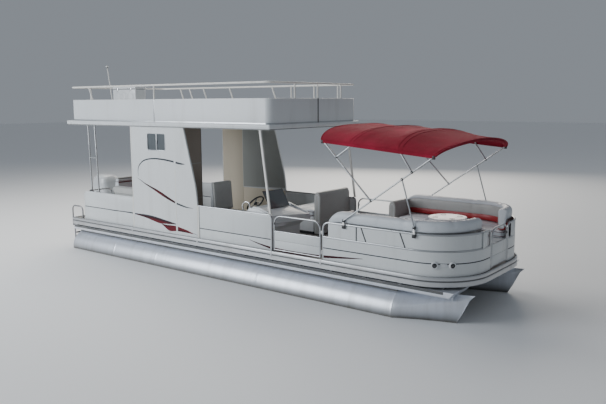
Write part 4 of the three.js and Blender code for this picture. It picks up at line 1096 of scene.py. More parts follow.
def roofPanels():
    look = roofLook
    part = Piece("roof-panels")
    top, foot = look["panelTop"], look["top"] + 0.0003
    skin = [(0, foot + 0.004), (0, top - 0.012), (-0.003, top - 0.003), (-0.008, top), (-0.017, top),
        (-0.022, top - 0.003), (-0.025, top - 0.012), (-0.025, foot + 0.004), (-0.022, foot), (-0.003, foot)]
    plan = rectangle(look["panelAft"], look["panelFront"], look["panelHalf"], look["corner"], 8)
    part.add(roofPaint, hoop(skin, plan))
    foil = [(0.0012, foot), (0.0012, foot + 0.02), (0.0002, foot + 0.022), (-0.003, foot + 0.022),
        (-0.003, foot)]
    part.add(silver, hoop(foil, plan))
    half = look["panelHalf"]
    for x, side in ((2.3, -1), (0.3, 1), (1.85, 1), (3.56, 1)):
        part.add(silver, block(near(x, 0.014), sorted((side * (half + 0.004), side * (half - 0.001))),
            (foot, top + 0.001), 0.0015))
        part.add(iron, block(near(x, 0.002), sorted((side * (half + 0.0046), side * half)),
            (foot + 0.01, top - 0.004)))
    for x, y in ((look["panelFront"], 0.04), (look["panelAft"], -0.7), (look["panelAft"], 0.64)):
        out = 1 if x > 0 else -1
        # the strip on the front face is dark and the aft ones are silver: the dark one is painted shade on
        # the front face
        part.add(iron if out > 0 else silver, block(sorted((x - out * 0.001, x + out * 0.004)),
            near(y, 0.014), (foot, top + 0.001), 0.0015))
    spots = [(x, -half, z) for x in (-0.2, 0.6, 1.4, 2.2, 2.4, 3.2, 4, 4.9)
        for z in (foot + 0.045, top - 0.03)]
    rivets(part, spots, (0, -1, 0))
    rivets(part, [(x, half, z) for x, _, z in spots], (0, 1, 0))
    rivets(part, [(look["panelFront"], y, z) for y in (-1.05, -0.5, 0, 0.1, 0.6, 1.05)
        for z in (foot + 0.045, top - 0.03)], (1, 0, 0))
    part.done("roof_panels")


roofPanels()


def roofRail():
    look = roofLook
    part = Piece("roof-rail")
    z = look["railTop"] - 0.016
    x0, x1, half = look["panelAft"] + 0.007, look["panelFront"] - 0.007, look["railHalf"]
    loop = [Vector((x, y, z)) for x, y in rectangle(x0, x1, half, look["corner"] - 0.007, 8)]
    long = []  # the straight runs get a few more points
    for a, b in zip(loop, loop[1:] + loop[:1]):
        long += [a.lerp(b, n / 6) for n in range(6)] if (b - a).length > 1 else [a]
    part.add(cream, pipe(long, 0.016, sides=14, closed=True))
    line = 1.2195
    front, aft = look["panelFront"] - 0.0125, look["panelAft"] + 0.0125
    posts = [((0.42, -line), (0.32, -line)), ((2.3, -line), (2.3, -line))]
    posts += [((x + 0.1, line), (x, line)) for x in (0.3, 0.6, 1.05, 1.85, 3.05)]
    posts += [((x, line), (x, line)) for x in (3.56, 4.13, 4.69)]
    posts += [((front, y), (front, y)) for y in (-0.59, 0.04, 0.74)]
    posts += [((aft, y), (aft, y)) for y in (-0.75, 0.64)]
    for (fx, fy), (tx, ty) in posts:
        part.add(cream, pipe([(fx, fy, look["panelTop"] - 0.001), (fx, fy, look["panelTop"] + 0.012),
            (tx, ty, z)], 0.014, 0.03, 12), rod((fx, fy, look["panelTop"] - 0.002),
            (fx, fy, look["panelTop"] + 0.008), 0.018, 0.014, 16, 0.002),
            ball((tx, ty, z - 0.004), 0.0185, (1, 1, 0.9), 12))
    part.done("roof_rail")


roofRail()


def roofFittings():
    look = roofLook
    pole = Piece("light-pole")
    top = Vector((0.918, -1.1975, 3.089))
    pole.add(cream, pipe([(1.099, -1.1975, look["top"]), (1.099, -1.1975, look["top"] + 0.03), top], 0.009,
        0.05, 12))
    pole.add(steel, lathed([(0, 0), (0.022, 0), (0.022, 0.006), (0.012, 0.014), (0.012, 0.04), (0, 0.04)],
        (1.099, -1.1975, look["top"] + 0.0003)))
    pole.add(lampGlass, lathed([(0, 0), (0.02, 0.002), (0.0225, 0.012), (0.0215, 0.026), (0, 0.027)],
        top - up * 0.002))
    pole.add(black, lathed([(0, -0.014), (0.012, -0.014), (0.0235, -0.002), (0.0235, 0.001), (0, 0.001)],
        top), lathed([(0, 0.024), (0.022, 0.024), (0.022, 0.028), (0.01, 0.034), (0, 0.035)], top))
    pole.done("light_pole")
    locker = Piece("roof-locker")
    x0, x1, y0, y1, base, lid = 0.24, 0.99, -0.6, -0.33, look["top"] + 0.0003, 2.736
    locker.add(moulding, block((x0 + 0.008, x1 - 0.008), (y0 + 0.008, y1 - 0.008), (base, lid - 0.055), 0.014,
        3), block((x0, x1), (y0, y1), (lid - 0.052, lid), 0.016, 4))
    locker.add(black, block((x0 + 0.012, x1 - 0.012), (y0 + 0.012, y1 - 0.012), (lid - 0.06, lid - 0.04)))
    for x in (x0 + 0.16, x1 - 0.16):
        locker.add(steel, block(near(x, 0.018), (y0 - 0.0015, y0 + 0.01), (lid - 0.095, lid - 0.03), 0.002))
        locker.add(black, block(near(x, 0.03), (y1 - 0.01, y1 + 0.0015), (lid - 0.075, lid - 0.035), 0.003))
    for n in range(4):
        x = x0 + 0.12 + 0.17 * n
        locker.add(moulding, block((x, x + 0.1), (y0 + 0.0055, y0 + 0.012), (base + 0.1, lid - 0.15), 0.0025))
    locker.done("roof_locker")
    lidPiece = Piece("roof-hatch-lid", "hatch_lid")
    hx0, hx1, hy0, hy1 = look["hatch"]
    z0 = look["top"] + 0.0003
    lidPiece.add(moulding, block((hx0 - 0.02, hx1 + 0.02), (hy0 - 0.02, hy1 + 0.02), (z0, z0 + 0.026), 0.009,
        3))
    lidPiece.add(roofTread, block((hx0 + 0.03, hx1 - 0.03), (hy0 + 0.03, hy1 - 0.03),
        (z0 + 0.02, z0 + 0.0275), 0.0015))
    for y in (hy0 + 0.06, hy1 - 0.06):
        lidPiece.add(steel, rod((0.98, y - 0.03, look["top"] + 0.014), (0.98, y + 0.03, look["top"] + 0.014),
            0.0125, sides=16, edge=0.002), block((0.915, 0.978), near(y, 0.024), (z0 + 0.0255, z0 + 0.029),
            0.001))
    middle = (hy0 + hy1) / 2
    lidPiece.add(steel, pipe([(0.33, middle - 0.06, z0 + 0.024), (0.33, middle - 0.06, z0 + 0.05),
        (0.33, middle + 0.06, z0 + 0.05), (0.33, middle + 0.06, z0 + 0.024)], 0.005, 0.015, 10))
    lidPiece.done("roof_hatch_lid")
    ladder = Piece("roof-ladder")
    footX, topX, topZ, ly0, ly1, rungs = 0.72, 0.33, 2.03, 0.58, 1.04, 7
    for y in (ly0, ly1):
        ladder.add(silver, pipe([(footX, y, 0), (footX, y, 0.02), (topX, y, topZ)], 0.016, 0.04, 14))
        ladder.add(black, rod((footX, y, 0), (footX, y, 0.05), 0.021, 0.0185, 16, 0.003))
        ladder.add(silver, block((0.3003, topX + 0.014), near(y, 0.018), (topZ - 0.032, topZ - 0.006), 0.004))
    for n in range(rungs):
        share = (n + 1) / (rungs + 0.6)
        x, z = footX + share * (topX - footX), share * topZ
        ladder.add(silver, block(near(x, 0.03), (ly0, ly1), (z - 0.012, z + 0.009), 0.004))
        for k in range(5):
            ladder.add(black, block((x - 0.024 + 0.0105 * k, x - 0.018 + 0.0105 * k),
                (ly0 + 0.03, ly1 - 0.03), (z + 0.008, z + 0.012), 0.001))
    ladder.add(silver, block((0.3003, 0.334), (ly0, ly1), (topZ - 0.028, topZ - 0.01), 0.003))
    ladder.done("roof_ladder")


roofFittings()
print("roof made")

# Bow canopy
canopyLook = {"aftX": 6.14, "aftZ": 1.815, "foreX": 7.985, "foreZ": 1.66, "half": 1.2815,
    "crown": ((0, 6.01, 2.05), (0.27, 6.7, 2.03), (0.68, 7.3, 2.005), (1, 8.12, 1.875)),
    "bows": ((0.985, 6.53, 0.665), (0.015, 6.996, 0.998), (0.27, 6.397, 1.6), (0.72, 7.65, 1.449)),
    "tube": 0.0125, "side": 1.263, "cloth": 0.0016}


def canopySpot(s, t, drop=0):
    look = canopyLook
    hemX = look["aftX"] + s * (look["foreX"] - look["aftX"])
    hemZ = look["aftZ"] + s * (look["foreZ"] - look["aftZ"])
    crown = look["crown"]
    for (s0, x0, z0), (s1, x1, z1) in zip(crown, crown[1:]):
        if s <= s1 + 1e-9:
            share = (s - s0) / (s1 - s0)
            crownX, crownZ = x0 + share * (x1 - x0), z0 + share * (z1 - z0)
            break
    rise = (1 - min(1, abs(t)) ** (3.2 - 1.4 * s * s)) ** (0.62 - 0.12 * s * s)  # rounder towards the bow
    return Vector((hemX + rise * (crownX - hemX), t * (look["half"] - drop),
        hemZ + rise * (crownZ - drop - hemZ)))


def sag(s, t):
    # the cloth hangs a little between the bows, most in the middle of its width
    stations = (0, 0.27, 0.72, 1)
    for a, b in zip(stations, stations[1:]):
        if a <= s <= b:
            share = (s - a) / (b - a)
            return 0.03 * (b - a) / 0.45 * sin(pi * share) ** 1.3 * (1 - 0.45 * abs(t) ** 2)
    return 0


def ripple(s, t):
    near = max(exp(-((s - a) / 0.05) ** 2) for a in (0, 0.27, 0.72, 1))
    fine = noise.noise(Vector((s * 9, t * 5, 3.1))) * 0.004 + noise.noise(Vector((s * 26, t * 4,
        8.7))) * 0.0022
    return fine * (1 - 0.8 * near)


def canopyCloth():
    look = canopyLook
    acrossCount, alongCount = 72, 60
    ts = [sin(pi / 2 * (2 * n / acrossCount - 1)) * 0.55 + (2 * n / acrossCount - 1) * 0.45
        for n in range(acrossCount + 1)]
    bm = bmesh.new()
    bmesh.ops.create_grid(bm, x_segments=alongCount, y_segments=acrossCount, size=1)
    for v in bm.verts:
        s = (v.co.x + 1) / 2
        t = ts[round((v.co.y + 1) / 2 * acrossCount)]
        spot = canopySpot(s, t, 0.004)
        edge = min(1, (1 - abs(t)) * 9)
        spot.z -= (sag(s, t) + ripple(s, t)) * edge
        spot.z = min(spot.z, canopySpot(s, t).z + 0.002)
        v.co = spot
    outwards(bm)
    if sum(f.normal.z for f in bm.faces) < 0:
        bmesh.ops.reverse_faces(bm, faces=bm.faces)
    area = sum(f.calc_area() for f in bm.faces)
    width = sum((canopySpot(0.5, b) - canopySpot(0.5, a)).length for a, b in zip(ts, ts[1:]))
    bmesh.ops.solidify(bm, geom=bm.faces[:], thickness=look["cloth"])
    outwards(bm)
    part = Piece("canopy-cloth")
    part.add(canvas, bm)
    cloth = part.done("canopy", angle=50)
    hems = Piece("canopy-hems")
    for s in (0, 1):  # rolled over the end bows
        line = [canopySpot(s, t, 0.009) + up * 0.002 for t in ts]
        flat = [(0.013 * cos(tau * n / 10), 0.007 * sin(tau * n / 10)) for n in range(10)]
        hems.add(canvas, sweep(flat, along(line)))
    for s, radius in ((0.015, 0.0175), (0.985, 0.026)):  # the sleeves that hold the end bows
        line = [canopySpot(s, t, 0.009 + radius) for t in ts if abs(t) < 0.99]
        hems.add(canvas, pipe(line, radius, sides=14))
    for t in (-1, 1):
        line = [canopySpot(n / 30, t, 0.004) + Vector((0, 0, 0.012)) for n in range(31)]
        profile = [(0.0016, -0.022), (0.0024, 0), (0.0016, 0.02), (-0.0016, 0.02), (-0.0024, 0),
            (-0.0016, -0.022)]
        places = [(p[0], toPort, up) for p in along(line)]
        hems.add(canvas, sweep(profile, places))
    for s in (0.27, 0.72):  # the pockets that hold the middle bows, felled along both edges
        for shift in (-0.016, 0.016):
            line = []
            for t in ts[2:-2]:
                edge = min(1, (1 - abs(t)) * 9)
                spot = canopySpot(s + shift, t, 0.004)
                line.append(spot - up * (sag(s + shift, t) + ripple(s + shift, t)) * edge + up * 0.0012)
            hems.add(canvas, sweep(circle(0.0026, 6), along(line)))
    made = hems.done()


def canopyFrame():
    look = canopyLook
    part = Piece("canopy-frame")
    ts = [-1, -0.985, -0.955, -0.91, -0.85, -0.77, -0.66, -0.52, -0.36, -0.18, 0, 0.18, 0.36, 0.52, 0.66,
        0.77, 0.85, 0.91, 0.955, 0.985, 1]
    for s, x, z in look["bows"]:
        over = [canopySpot(s, t, 0.0265) for t in ts]
        if s in (0.27, 0.72):
            over = [p - up * 0.004 for p in over]
        route = [(x, -look["side"], z), *over, (x, look["side"], z)]
        part.add(silver, pipe(filleted(route, 0.05, 3), look["tube"], sides=12))
    for side in (-1, 1):
        y = side * look["side"]
        part.add(silver, rod((7.701, y, 0.69), (7.5, y, 1.343), 0.01, sides=12))
        inner = fenceLook["face"] + 0.0003
        for x0, x1, z0, z1 in ((6.5, 6.56, 0.54, 0.68), (7.672, 7.732, 0.54, 0.705)):
            part.add(black, block((x0, x1), sorted((side * 1.272, side * inner)), (z0, z0 + 0.055), 0.004))
            part.add(steel, block((x0 + 0.012, x1 - 0.012), sorted((side * 1.271, side * (inner + 0.001))),
                (z0 + 0.02, z1 - 0.01), 0.004))
            part.add(black, block((x0 + 0.006, x1 - 0.006), sorted((side * 1.272, side * 1.2535)),
                (z1 - 0.045, z1), 0.006))
        joints = [(6.996, 0.998), (6.397, 1.6), (7.65, 1.449), (7.5, 1.343)]
        for x, z in joints:  # the swivels where a bow or strut is hung on another
            part.add(black, ball((x, y, z), 0.0175, (1.25, 0.95, 1.25), 14))
            part.add(steel, rod((x, y - 0.018, z), (x, y + 0.018, z), 0.006, sides=10))
        for s in (0, 1):
            spot = canopySpot(s, side * 1, 0)
            spot.y = side * 1.268
            spot.x += 0.004 if s == 0 else -0.01
            part.add(black, block((spot.x - 0.022, spot.x + 0.022), sorted((side * 1.253, side * 1.2805)),
                (spot.z - 0.022, spot.z + 0.03), 0.007))
    return part.done("canopy_frame")


canopyFrame()
canopyCloth()
print("canopy made")

# Seats: hard bases first, then the stuffed pieces
seatLook = {"base": 0.33, "half": 0.64, "front": 7.76, "corner": 0.22, "gate": 0.425, "toe": 0.055,
    "voxel": 0.013, "cap": 0.012, "pressure": 4, "frames": 20}


def loungeLine(grow, x0, end):
    look = seatLook
    return bowPlan(look["half"] + grow, look["front"] + grow, look["corner"] + grow, x0, end, 8)


def loungeBand(outer, grow, x0, end):
    return seatPlan(outer, x0, end) + loungeLine(grow, x0, end)[::-1]


def evenly(points, step):
    points = [Vector(p) for p in points]
    made = [points[0]]
    for a, b in zip(points, points[1:]):
        count = max(1, round((b - a).length / step))
        made += [a.lerp(b, (n + 1) / count) for n in range(count)]
    return made


def loungeBase(part, x0):
    look = seatLook
    end = -look["gate"]
    part.add(moulding, plate(loungeBand(0.036, 0, x0, end), "z", look["toe"], look["base"] - 0.004, 0.012, 3))
    part.add(black, plate(loungeBand(0.044, 0.025, x0 + 0.02, end - 0.02), "z", 0.001, look["toe"] + 0.01))
    line = [(x, y, look["base"] - 0.012) for x, y in loungeLine(-0.001, x0 + 0.02, end - 0.02)]
    part.add(paleVinyl, pipe(line, 0.006, sides=8))
    for x in (6.62, 7.3):  # doors of the lockers under the seats
        part.add(linerPale, plate(corners(x, x + 0.5, 0.085, 0.285), "y", -look["half"] - 0.004,
            -look["half"] + 0.004, 0.003))
        part.add(dark, block((x + 0.22, x + 0.28), (-look["half"], -look["half"] + 0.01), (0.25, 0.275),
            0.004))


def box(x, y, z, edge=0.012, steps=3):
    return block(x, y, z, edge, steps)


def seatBase(part, x, y):
    look = seatLook
    part.add(moulding, box(x, y, (look["toe"], look["base"] - 0.004)))
    part.add(black, block((x[0] + 0.02, x[1] - 0.02), (y[0] + 0.02, y[1] - 0.02),
        (0.001, look["toe"] + 0.01)))


def uprightBack(part, x0, x1, y0, y1, top, end):
    # a covered board across the end of a seat, with a welt round the end that shows
    left, right, middle = x0 + 0.004, x1 - 0.004, (x0 + x1) / 2
    side = [(left, 0.02), (right, 0.02), (right, top - 0.1), (right - 0.021, top - 0.035),
        (right - 0.051, top - 0.008), (left + 0.051, top - 0.008), (left + 0.021, top - 0.035),
        (left, top - 0.1)]
    part.add(greyVinyl, plate(side, "y", y0 + 0.004, y1 - 0.004, 0.02, 4))
    seam = [(middle - 0.038, 0.06), (middle - 0.038, top - 0.1), (middle, top - 0.045),
        (middle + 0.038, top - 0.1), (middle + 0.038, 0.06)]
    part.add(paleVinyl, pipe([(x, end, z) for x, z in seam], 0.004, 0.02, 8))


def hardSeats():
    for label, side in sides:
        lounge = Piece(f"lounge-base-{label}")
        loungeBase(lounge, 6.19)
        uprightBack(lounge, 6.19, 6.34, -1.1027, -0.6, 0.715, -0.6055)
        lounge.done(f"lounge_{label}", side=side)
    rear = Piece("rear-seat-base")
    seatBase(rear, (4.15, 4.831), (0.26, 1.214))
    uprightBack(rear, 4.83, 4.985, 0.26, 1.217, 0.8, 0.2655)
    rear.done("rear_seat")
    bench = Piece("stern-bench-base")
    seatBase(bench, (0.04, 0.6), (-0.49, 0.44))
    bench.add(moulding, box((0.038, 0.146), (-0.486, 0.436), (0.3, 0.7), 0.02))
    bench.done("stern_bench")
    aft = Piece("aft-seat-base")
    seatBase(aft, (0.98, 1.6), (-1.214, -0.65))
    aft.done("aft_seat")


hardSeats()


def meshObject(bm, name="working"):
    mesh = bpy.data.meshes.new(name)
    bm.to_mesh(mesh)
    obj = linked(name, mesh)
    return obj


def settled(obj):
    seen = obj.evaluated_get(bpy.context.evaluated_depsgraph_get())
    bm = bmesh.new()
    bm.from_mesh(seen.to_mesh())
    seen.to_mesh_clear()
    return bm


def dropped(obj):
    mesh = obj.data
    bpy.data.objects.remove(obj)
    bpy.data.meshes.remove(mesh)


def remeshed(bm, voxel):
    obj = meshObject(bm)
    bm.free()
    modifier = obj.modifiers.new("voxels", "REMESH")
    modifier.mode = "VOXEL"
    modifier.voxel_size = voxel
    made = settled(obj)
    dropped(obj)
    return made


def inflated(shapes):
    # every stuffed shape is swelled by its pressure at once, and no point moves further than its cap
    look = seatLook
    starts = [remeshed(bm, look["voxel"]) for bm, cap, floor in shapes]
    working = []
    for bm in starts:
        obj = meshObject(bm)
        cloth = obj.modifiers.new("stuffing", "CLOTH").settings
        cloth.use_pressure = True
        cloth.uniform_pressure_force = look["pressure"]
        cloth.effector_weights.gravity = 0
        cloth.quality = 4
        cloth.tension_stiffness = cloth.compression_stiffness = 12
        cloth.bending_stiffness = 0.4
        working.append(obj)
    for number in range(1, look["frames"] + 1):
        scene.frame_set(number)
    made = []
    for obj, start, (_, cap, floor) in zip(working, starts, shapes):
        grown = settled(obj)
        for old, new in zip(start.verts, grown.verts):
            move = new.co - old.co
            if move.length > cap:
                move *= cap / move.length
            new.co = old.co + move
            new.co.z = max(new.co.z, floor)
        made.append(grown)
        start.free()
        dropped(obj)
    scene.frame_set(1)
    return made


def smoothStep(x, low, high):
    t = min(1, max(0, (x - low) / (high - low)))
    return t * t * (3 - 2 * t)


def rounded(outline, radius, steps=5):
    points = [Vector((*p, 0)) for p in outline]
    loop = filleted([(points[-1] + points[0]) / 2, *points, (points[-1] + points[0]) / 2], radius, steps)
    return [(p.x, p.y) for p in loop[:-1]]


def dented(bm, top, lines, depth, width=0.018):
    # sewn channels, each along a line between two points in plan
    for v in bm.verts:
        for a, b in lines:
            a, b = Vector((*a, 0)), Vector((*b, 0))
            spot = Vector((v.co.x, v.co.y, 0))
            share = min(1, max(0, (spot - a).dot(b - a) / (b - a).length_squared))
            away = (spot - a.lerp(b, share)).length
            v.co.z -= depth * exp(-(away / width) ** 2) * smoothStep(v.co.z, top - 0.06, top - 0.02)
    return bm


def subdivided(bm):
    bmesh.ops.subdivide_edges(bm, edges=bm.edges[:], cuts=1, use_grid_fill=True, smooth=1)
    return bm


def welt(outline, z, radius=0.0045):
    line = [Vector((x, y, z)) for x, y in outline]
    return pipe(line, radius, sides=6, closed=True)


cushionLook = {"low": 0.3345, "high": 0.44}
cushions = [  # name, node, outline, side, sewn channels, finish
    *[(f"lounge-cushion-{label}", f"lounge_cushion_{label}", loungeBand(0.052, 0, 6.358, -0.437), side,
       [((6.9, -1.3), (6.9, -0.6)), ((7.56, -1.3), (7.4, -0.6)), ((8.4, -0.8), (7.6, -0.78))], paleVinyl)
      for label, side in sides],
    ("rear-seat-cushion", "rear_seat_cushion", corners(4.168, 4.816, 0.278, 1.199), 1,
     [((4.49, 0.2), (4.49, 1.3))], paleVinyl),
    ("stern-bench-cushion", "stern_bench_cushion", corners(0.166, 0.584, -0.474, 0.424), 1,
     [((0.1, -0.025), (0.7, -0.025))], redVinyl),
    ("aft-seat-cushion", "aft_seat_cushion", corners(0.998, 1.582, -1.087, -0.668), 1,
     [((1.29, -1.2), (1.29, -0.5))], redVinyl),
]


def stuffedSeats():
    look = cushionLook
    shapes = []
    for _, _, outline, _, _, _ in cushions:
        bm = plate(rounded(outline, 0.05), "z", look["low"], look["high"], 0.024, 3)
        shapes.append((bm, seatLook["cap"], look["low"] - 0.003))
    for (name, node, outline, side, channels, finish), bm in zip(cushions, inflated(shapes)):
        dented(bm, look["high"], channels, 0.012)
        part = Piece(name)
        part.add(finish, subdivided(bm))
        edge = rounded(outline, 0.05)
        part.add(wineVinyl, welt(edge, look["high"] - 0.02), welt(edge, look["low"] + 0.022))
        part.done(node, angle=80, side=side)


stuffedSeats()
print("cushions made")


def domed(share):
    return sqrt(max(0, 1 - (1 - share) ** 2))


def padStations(plan, aftRise, foreRise):
    # places along the fence: how far along each is, the whole length, and the pad's share of its height
    points = evenly(plan, 0.045)
    lengths = [0]
    for a, b in zip(points, points[1:]):
        lengths.append(lengths[-1] + (b - a).length)
    total = lengths[-1]
    made = []
    for place, at in zip(around([tuple(p)[:2] for p in points]), lengths):
        ends = min(1, at / aftRise) if aftRise else 1
        fore = min(1, (total - at) / foreRise) if foreRise else 1
        made.append((place, at, total, min(domed(ends), domed(fore))))
    return made


def bowPad(name, node, x0, side, seams):
    low, middle = 0.4585, 0.085  # the pad's foot, and the inset of its middle
    end = -(seatLook["gate"] + 0.01)
    stations = padStations(seatPlan(0, x0 + 0.004, end), 0.26, 0.05)
    # each body's finish, and its profile of inset and height
    bodies = [(redVinyl, [(0.042, 0.459), (0.142, 0.459), (0.1535, 0.485), (0.1545, 0.525), (0.146, 0.556),
        (0.042, 0.556)]), (greyVinyl, [(0.06, 0.552), (0.146, 0.552), (0.156, 0.59), (0.157, 0.67),
        (0.148, 0.722), (0.06, 0.722)]), (paleVinyl, [(0.036, 0.618), (0.07, 0.618), (0.1, 0.7),
        (0.146, 0.718), (0.154, 0.738), (0.142, 0.764), (0.11, 0.78), (0.066, 0.782), (0.032, 0.768),
        (0.012, 0.738), (0.009, 0.69), (0.012, 0.645), (0.022, 0.624)])]
    part = Piece(name)
    for finish, profile in bodies:
        bm = sweep([(-a, b) for a, b in profile], [(p[0], p[1], up) for p, at, total, tall in stations])
        for number, v in enumerate(bm.verts):
            place, at, total, tall = stations[number // len(profile)]
            tall = max(tall, 0.03)
            pinch = sum(exp(-((at - seam) / 0.022) ** 2) for seam in seams)
            inset = -(v.co - place[0]).dot(place[1]) / place[1].length_squared
            rise = (v.co.z - low) * (0.12 + 0.88 * tall)
            edge = min(1, min(at, total - at) / 0.05)
            thick = 0.55 + 0.45 * domed(edge)
            inset = middle + (inset - middle) * thick * (1 - 0.1 * pinch)
            v.co = place[0] - place[1] * inset + up * (low + rise * (1 - 0.035 * pinch))
        part.add(finish, softened(bm, 0.006, 2, 50))
    part.done(node, angle=60, side=side)


for label, side in sides:
    bowPad(f"lounge-pad-{label}", f"lounge_pad_{label}", 6.2, side, (0.56, 1.32, 2.05))


def backPads():
    bench = Piece("stern-bench-back")
    profile = [(0.048, 0.46), (0.136, 0.46), (0.148, 0.5), (0.15, 0.6), (0.148, 0.7), (0.138, 0.716),
        (0.048, 0.716), (0.04, 0.7), (0.04, 0.48)]
    ys = [-0.485 + 0.92 * n / 24 for n in range(25)]
    bench.add(paleVinyl, sweep(profile, [(Vector((0, y, 0)), forward, up) for y in ys]))
    # the dark band between the back and its top roll stands in for the shadow under the roll: painted shade
    bench.add(wineVinyl, box((0.044, 0.148), (-0.48, 0.43), (0.68, 0.722), 0.014))
    bench.add(paleVinyl, box((0.04, 0.15), (-0.486, 0.436), (0.722, 0.785), 0.026, 4))
    bench.add(greyVinyl, box((0.042, 0.149), (-0.484, 0.434), (0.783, 0.812), 0.013))
    bench.done()
    aft = Piece("aft-seat-back")
    aft.add(wineVinyl, box((0.984, 1.596), (-1.214, -1.106), (0.459, 0.56), 0.022, 4))
    aft.add(greyVinyl, box((0.984, 1.596), (-1.214, -1.108), (0.556, 0.64), 0.02, 4),
        box((0.982, 1.598), (-1.243, -1.104), (0.628, 0.772), 0.045, 6))
    aft.add(moulding, block((0.99, 1.59), (-1.212, -1.12), (0.325, 0.47), 0.006))
    aft.add(paleVinyl, pipe([(1, -1.15, 0.7725), (1.58, -1.15, 0.7725)], 0.003, sides=6))
    aft.done()


backPads()


def bowTable():
    part = Piece("bow-table")
    at = Vector((7.5, 0.2, 0))
    part.add(silver, lathed([(0, 0.001), (0.128, 0.001), (0.13, 0.004), (0.126, 0.01), (0.06, 0.014),
        (0.04, 0.024), (0.034, 0.04), (0.0335, 0.56), (0.04, 0.575), (0.1, 0.588), (0.105, 0.5945),
        (0, 0.5945)], at, sides=36))
    part.add(moulding, lathed([(0, 0.594), (0.282, 0.594), (0.296, 0.599), (0.3, 0.608), (0.297, 0.617),
        (0.288, 0.62), (0.278, 0.6175), (0.262, 0.6165), (0, 0.6165)], at, sides=64))
    for n in range(4):  # cup recesses, drawn as rings on the top
        a = tau * (n + 0.5) / 4
        part.add(dark, torus(at + Vector((0.2 * cos(a), 0.2 * sin(a), 0.6168)), up, 0.04, 0.0028, 24, 6))
    part.done("table")


bowTable()
print("seats made")

# Helm
consoleLook = {"side": [(4.46, 0), (5.05, 0), (5.05, 0.335), (5.12, 0.388), (5.27, 0.432), (5.29, 0.485),
    (5.27, 0.542), (4.8, 0.672), (4.6, 0.672), (4.44, 0.49), (4.44, 0.42), (4.46, 0.38)], "nose": 5.29,
    "noseStart": 5.052, "y": (-1.2205, -0.42), "axis": (-0.7511, 0, 0.6602)}


def noseAt(y):  # the nose runs further forward on the inner side, clear of the gate's path
    low, high = consoleLook["y"]
    start = consoleLook["noseStart"]
    return start + (consoleLook["nose"] - start) * (y - low) / (high - low)


def dashHeight(x):
    return 0.672 - max(0, x - 4.8) * 0.13 / 0.47


def helmConsole():
    look = consoleLook
    part = Piece("helm-console")
    low, high = look["y"]
    rows = 24
    bm = sweep(look["side"], [(Vector((0, low + (high - low) * n / rows, 0)), forward, up)
        for n in range(rows + 1)])
    for v in bm.verts:
        reach = noseAt(v.co.y) - 0.001
        if v.co.x > reach:  # the dash is cut back, and rounds over at the cut
            over = (v.co.x - reach) / (look["nose"] - reach)
            v.co.x = reach
            if v.co.z > 0.5:
                v.co.z = dashHeight(reach) + (v.co.z - dashHeight(reach)) * 0.3 - 0.004 * over
    softened(bm, 0.014, 3, 24)
    part.add(moulding, bm)
    for y in (low + 0.022, high - 0.022):  # raised lips at both ends of the dash
        reach = min(noseAt(y) - 0.006, 5.262)
        lip = [(4.655, 0.668), (4.8, 0.668), (reach, dashHeight(reach) - 0.004),
            (reach - 0.05, dashHeight(reach) + 0.032), (4.82, 0.696), (4.69, 0.698)]
        part.add(moulding, plate(lip, "y", y - 0.018, y + 0.018, 0.009, 3))
    into = Vector(look["axis"])
    middle = Vector((4.52, 0, 0.581))
    down = Vector((-into.z, 0, into.x))

    def onFace(y, run=0, off=0):  # a spot on the dash's after face, run towards its foot
        return middle + down * run + into * off + Vector((0, y, 0))

    panel = [onFace(0, -0.1, -0.002), onFace(0, -0.1, 0.0035), onFace(0, 0.1, 0.0035), onFace(0, 0.1, -0.002)]
    part.add(dark, plate([(p.x, p.z) for p in panel], "y", -1.13, -0.52, 0.0015),
        lathed([(0, 0), (0.06, 0), (0.056, 0.01), (0.03, 0.035), (0.022, 0.05), (0.017, 0.06)], onFace(-0.85),
        into))
    for y, size in ((-1.06, 0.04), (-0.97, 0.04), (-0.73, 0.04), (-0.64, 0.04), (-0.565, 0.024)):
        part.add(steel, torus(onFace(y, -0.035, 0.004), into, size, 0.0032, 32, 8))
        part.add(black, lathed([(0, 0), (size, 0), (size, 0.005), (0, 0.005)], onFace(y, -0.035), into, 28))
        part.add(redStripe, sweep([(-0.0008, 0), (0.0008, 0), (0.0008, 0.0012), (-0.0008, 0.0012)],
            [(onFace(y, -0.035, 0.0052), toPort, into), (onFace(y + size * 0.5, -0.035 - size * 0.5, 0.0052),
            toPort, into)]))
    for n in range(6):  # switches
        spot = onFace(-1.08 + 0.034 * n, 0.055)
        toggle = [(0, 0), (0.009, 0), (0.009, 0.004), (0.004, 0.006), (0.003, 0.016), (0, 0.018)]
        part.add(black, lathed(toggle, spot, into, 12))
    part.add(dark, block((4.6, 4.95), (-0.4205, -0.4155), (0.1, 0.42), 0.003))
    part.add(steel, block((4.915, 4.935), (-0.417, -0.408), (0.24, 0.29), 0.003))
    part.add(black, plate(corners(5.0485, 5.0525, 0.22, 0.27), "y", -1.02, -0.93, 0.001))
    for z in (0.23, 0.245, 0.26):
        part.add(dark, block((5.05, 5.0555), (-1.015, -0.935), near(z, 0.0025)))
    part.add(steel, pipe([(4.58, -1.17, 0.655), (4.565, -1.17, 0.745), (4.48, -1.17, 0.76), (4.4, -1.17, 0.7),
        (4.452, -1.17, 0.51)], 0.011, 0.05, 12))
    part.done("console")
    lever = Piece("throttle")
    lever.add(black, block((4.56, 4.66), (-0.505, -0.435), (0.655, 0.715), 0.014, 3))
    lever.add(steel, pipe([(4.61, -0.47, 0.71), (4.6, -0.47, 0.8), (4.57, -0.47, 0.845)], 0.0075, 0.03, 10))
    lever.add(black, rod((4.57, -0.515, 0.85), (4.57, -0.43, 0.85), 0.016, sides=16, edge=0.006))
    lever.done()


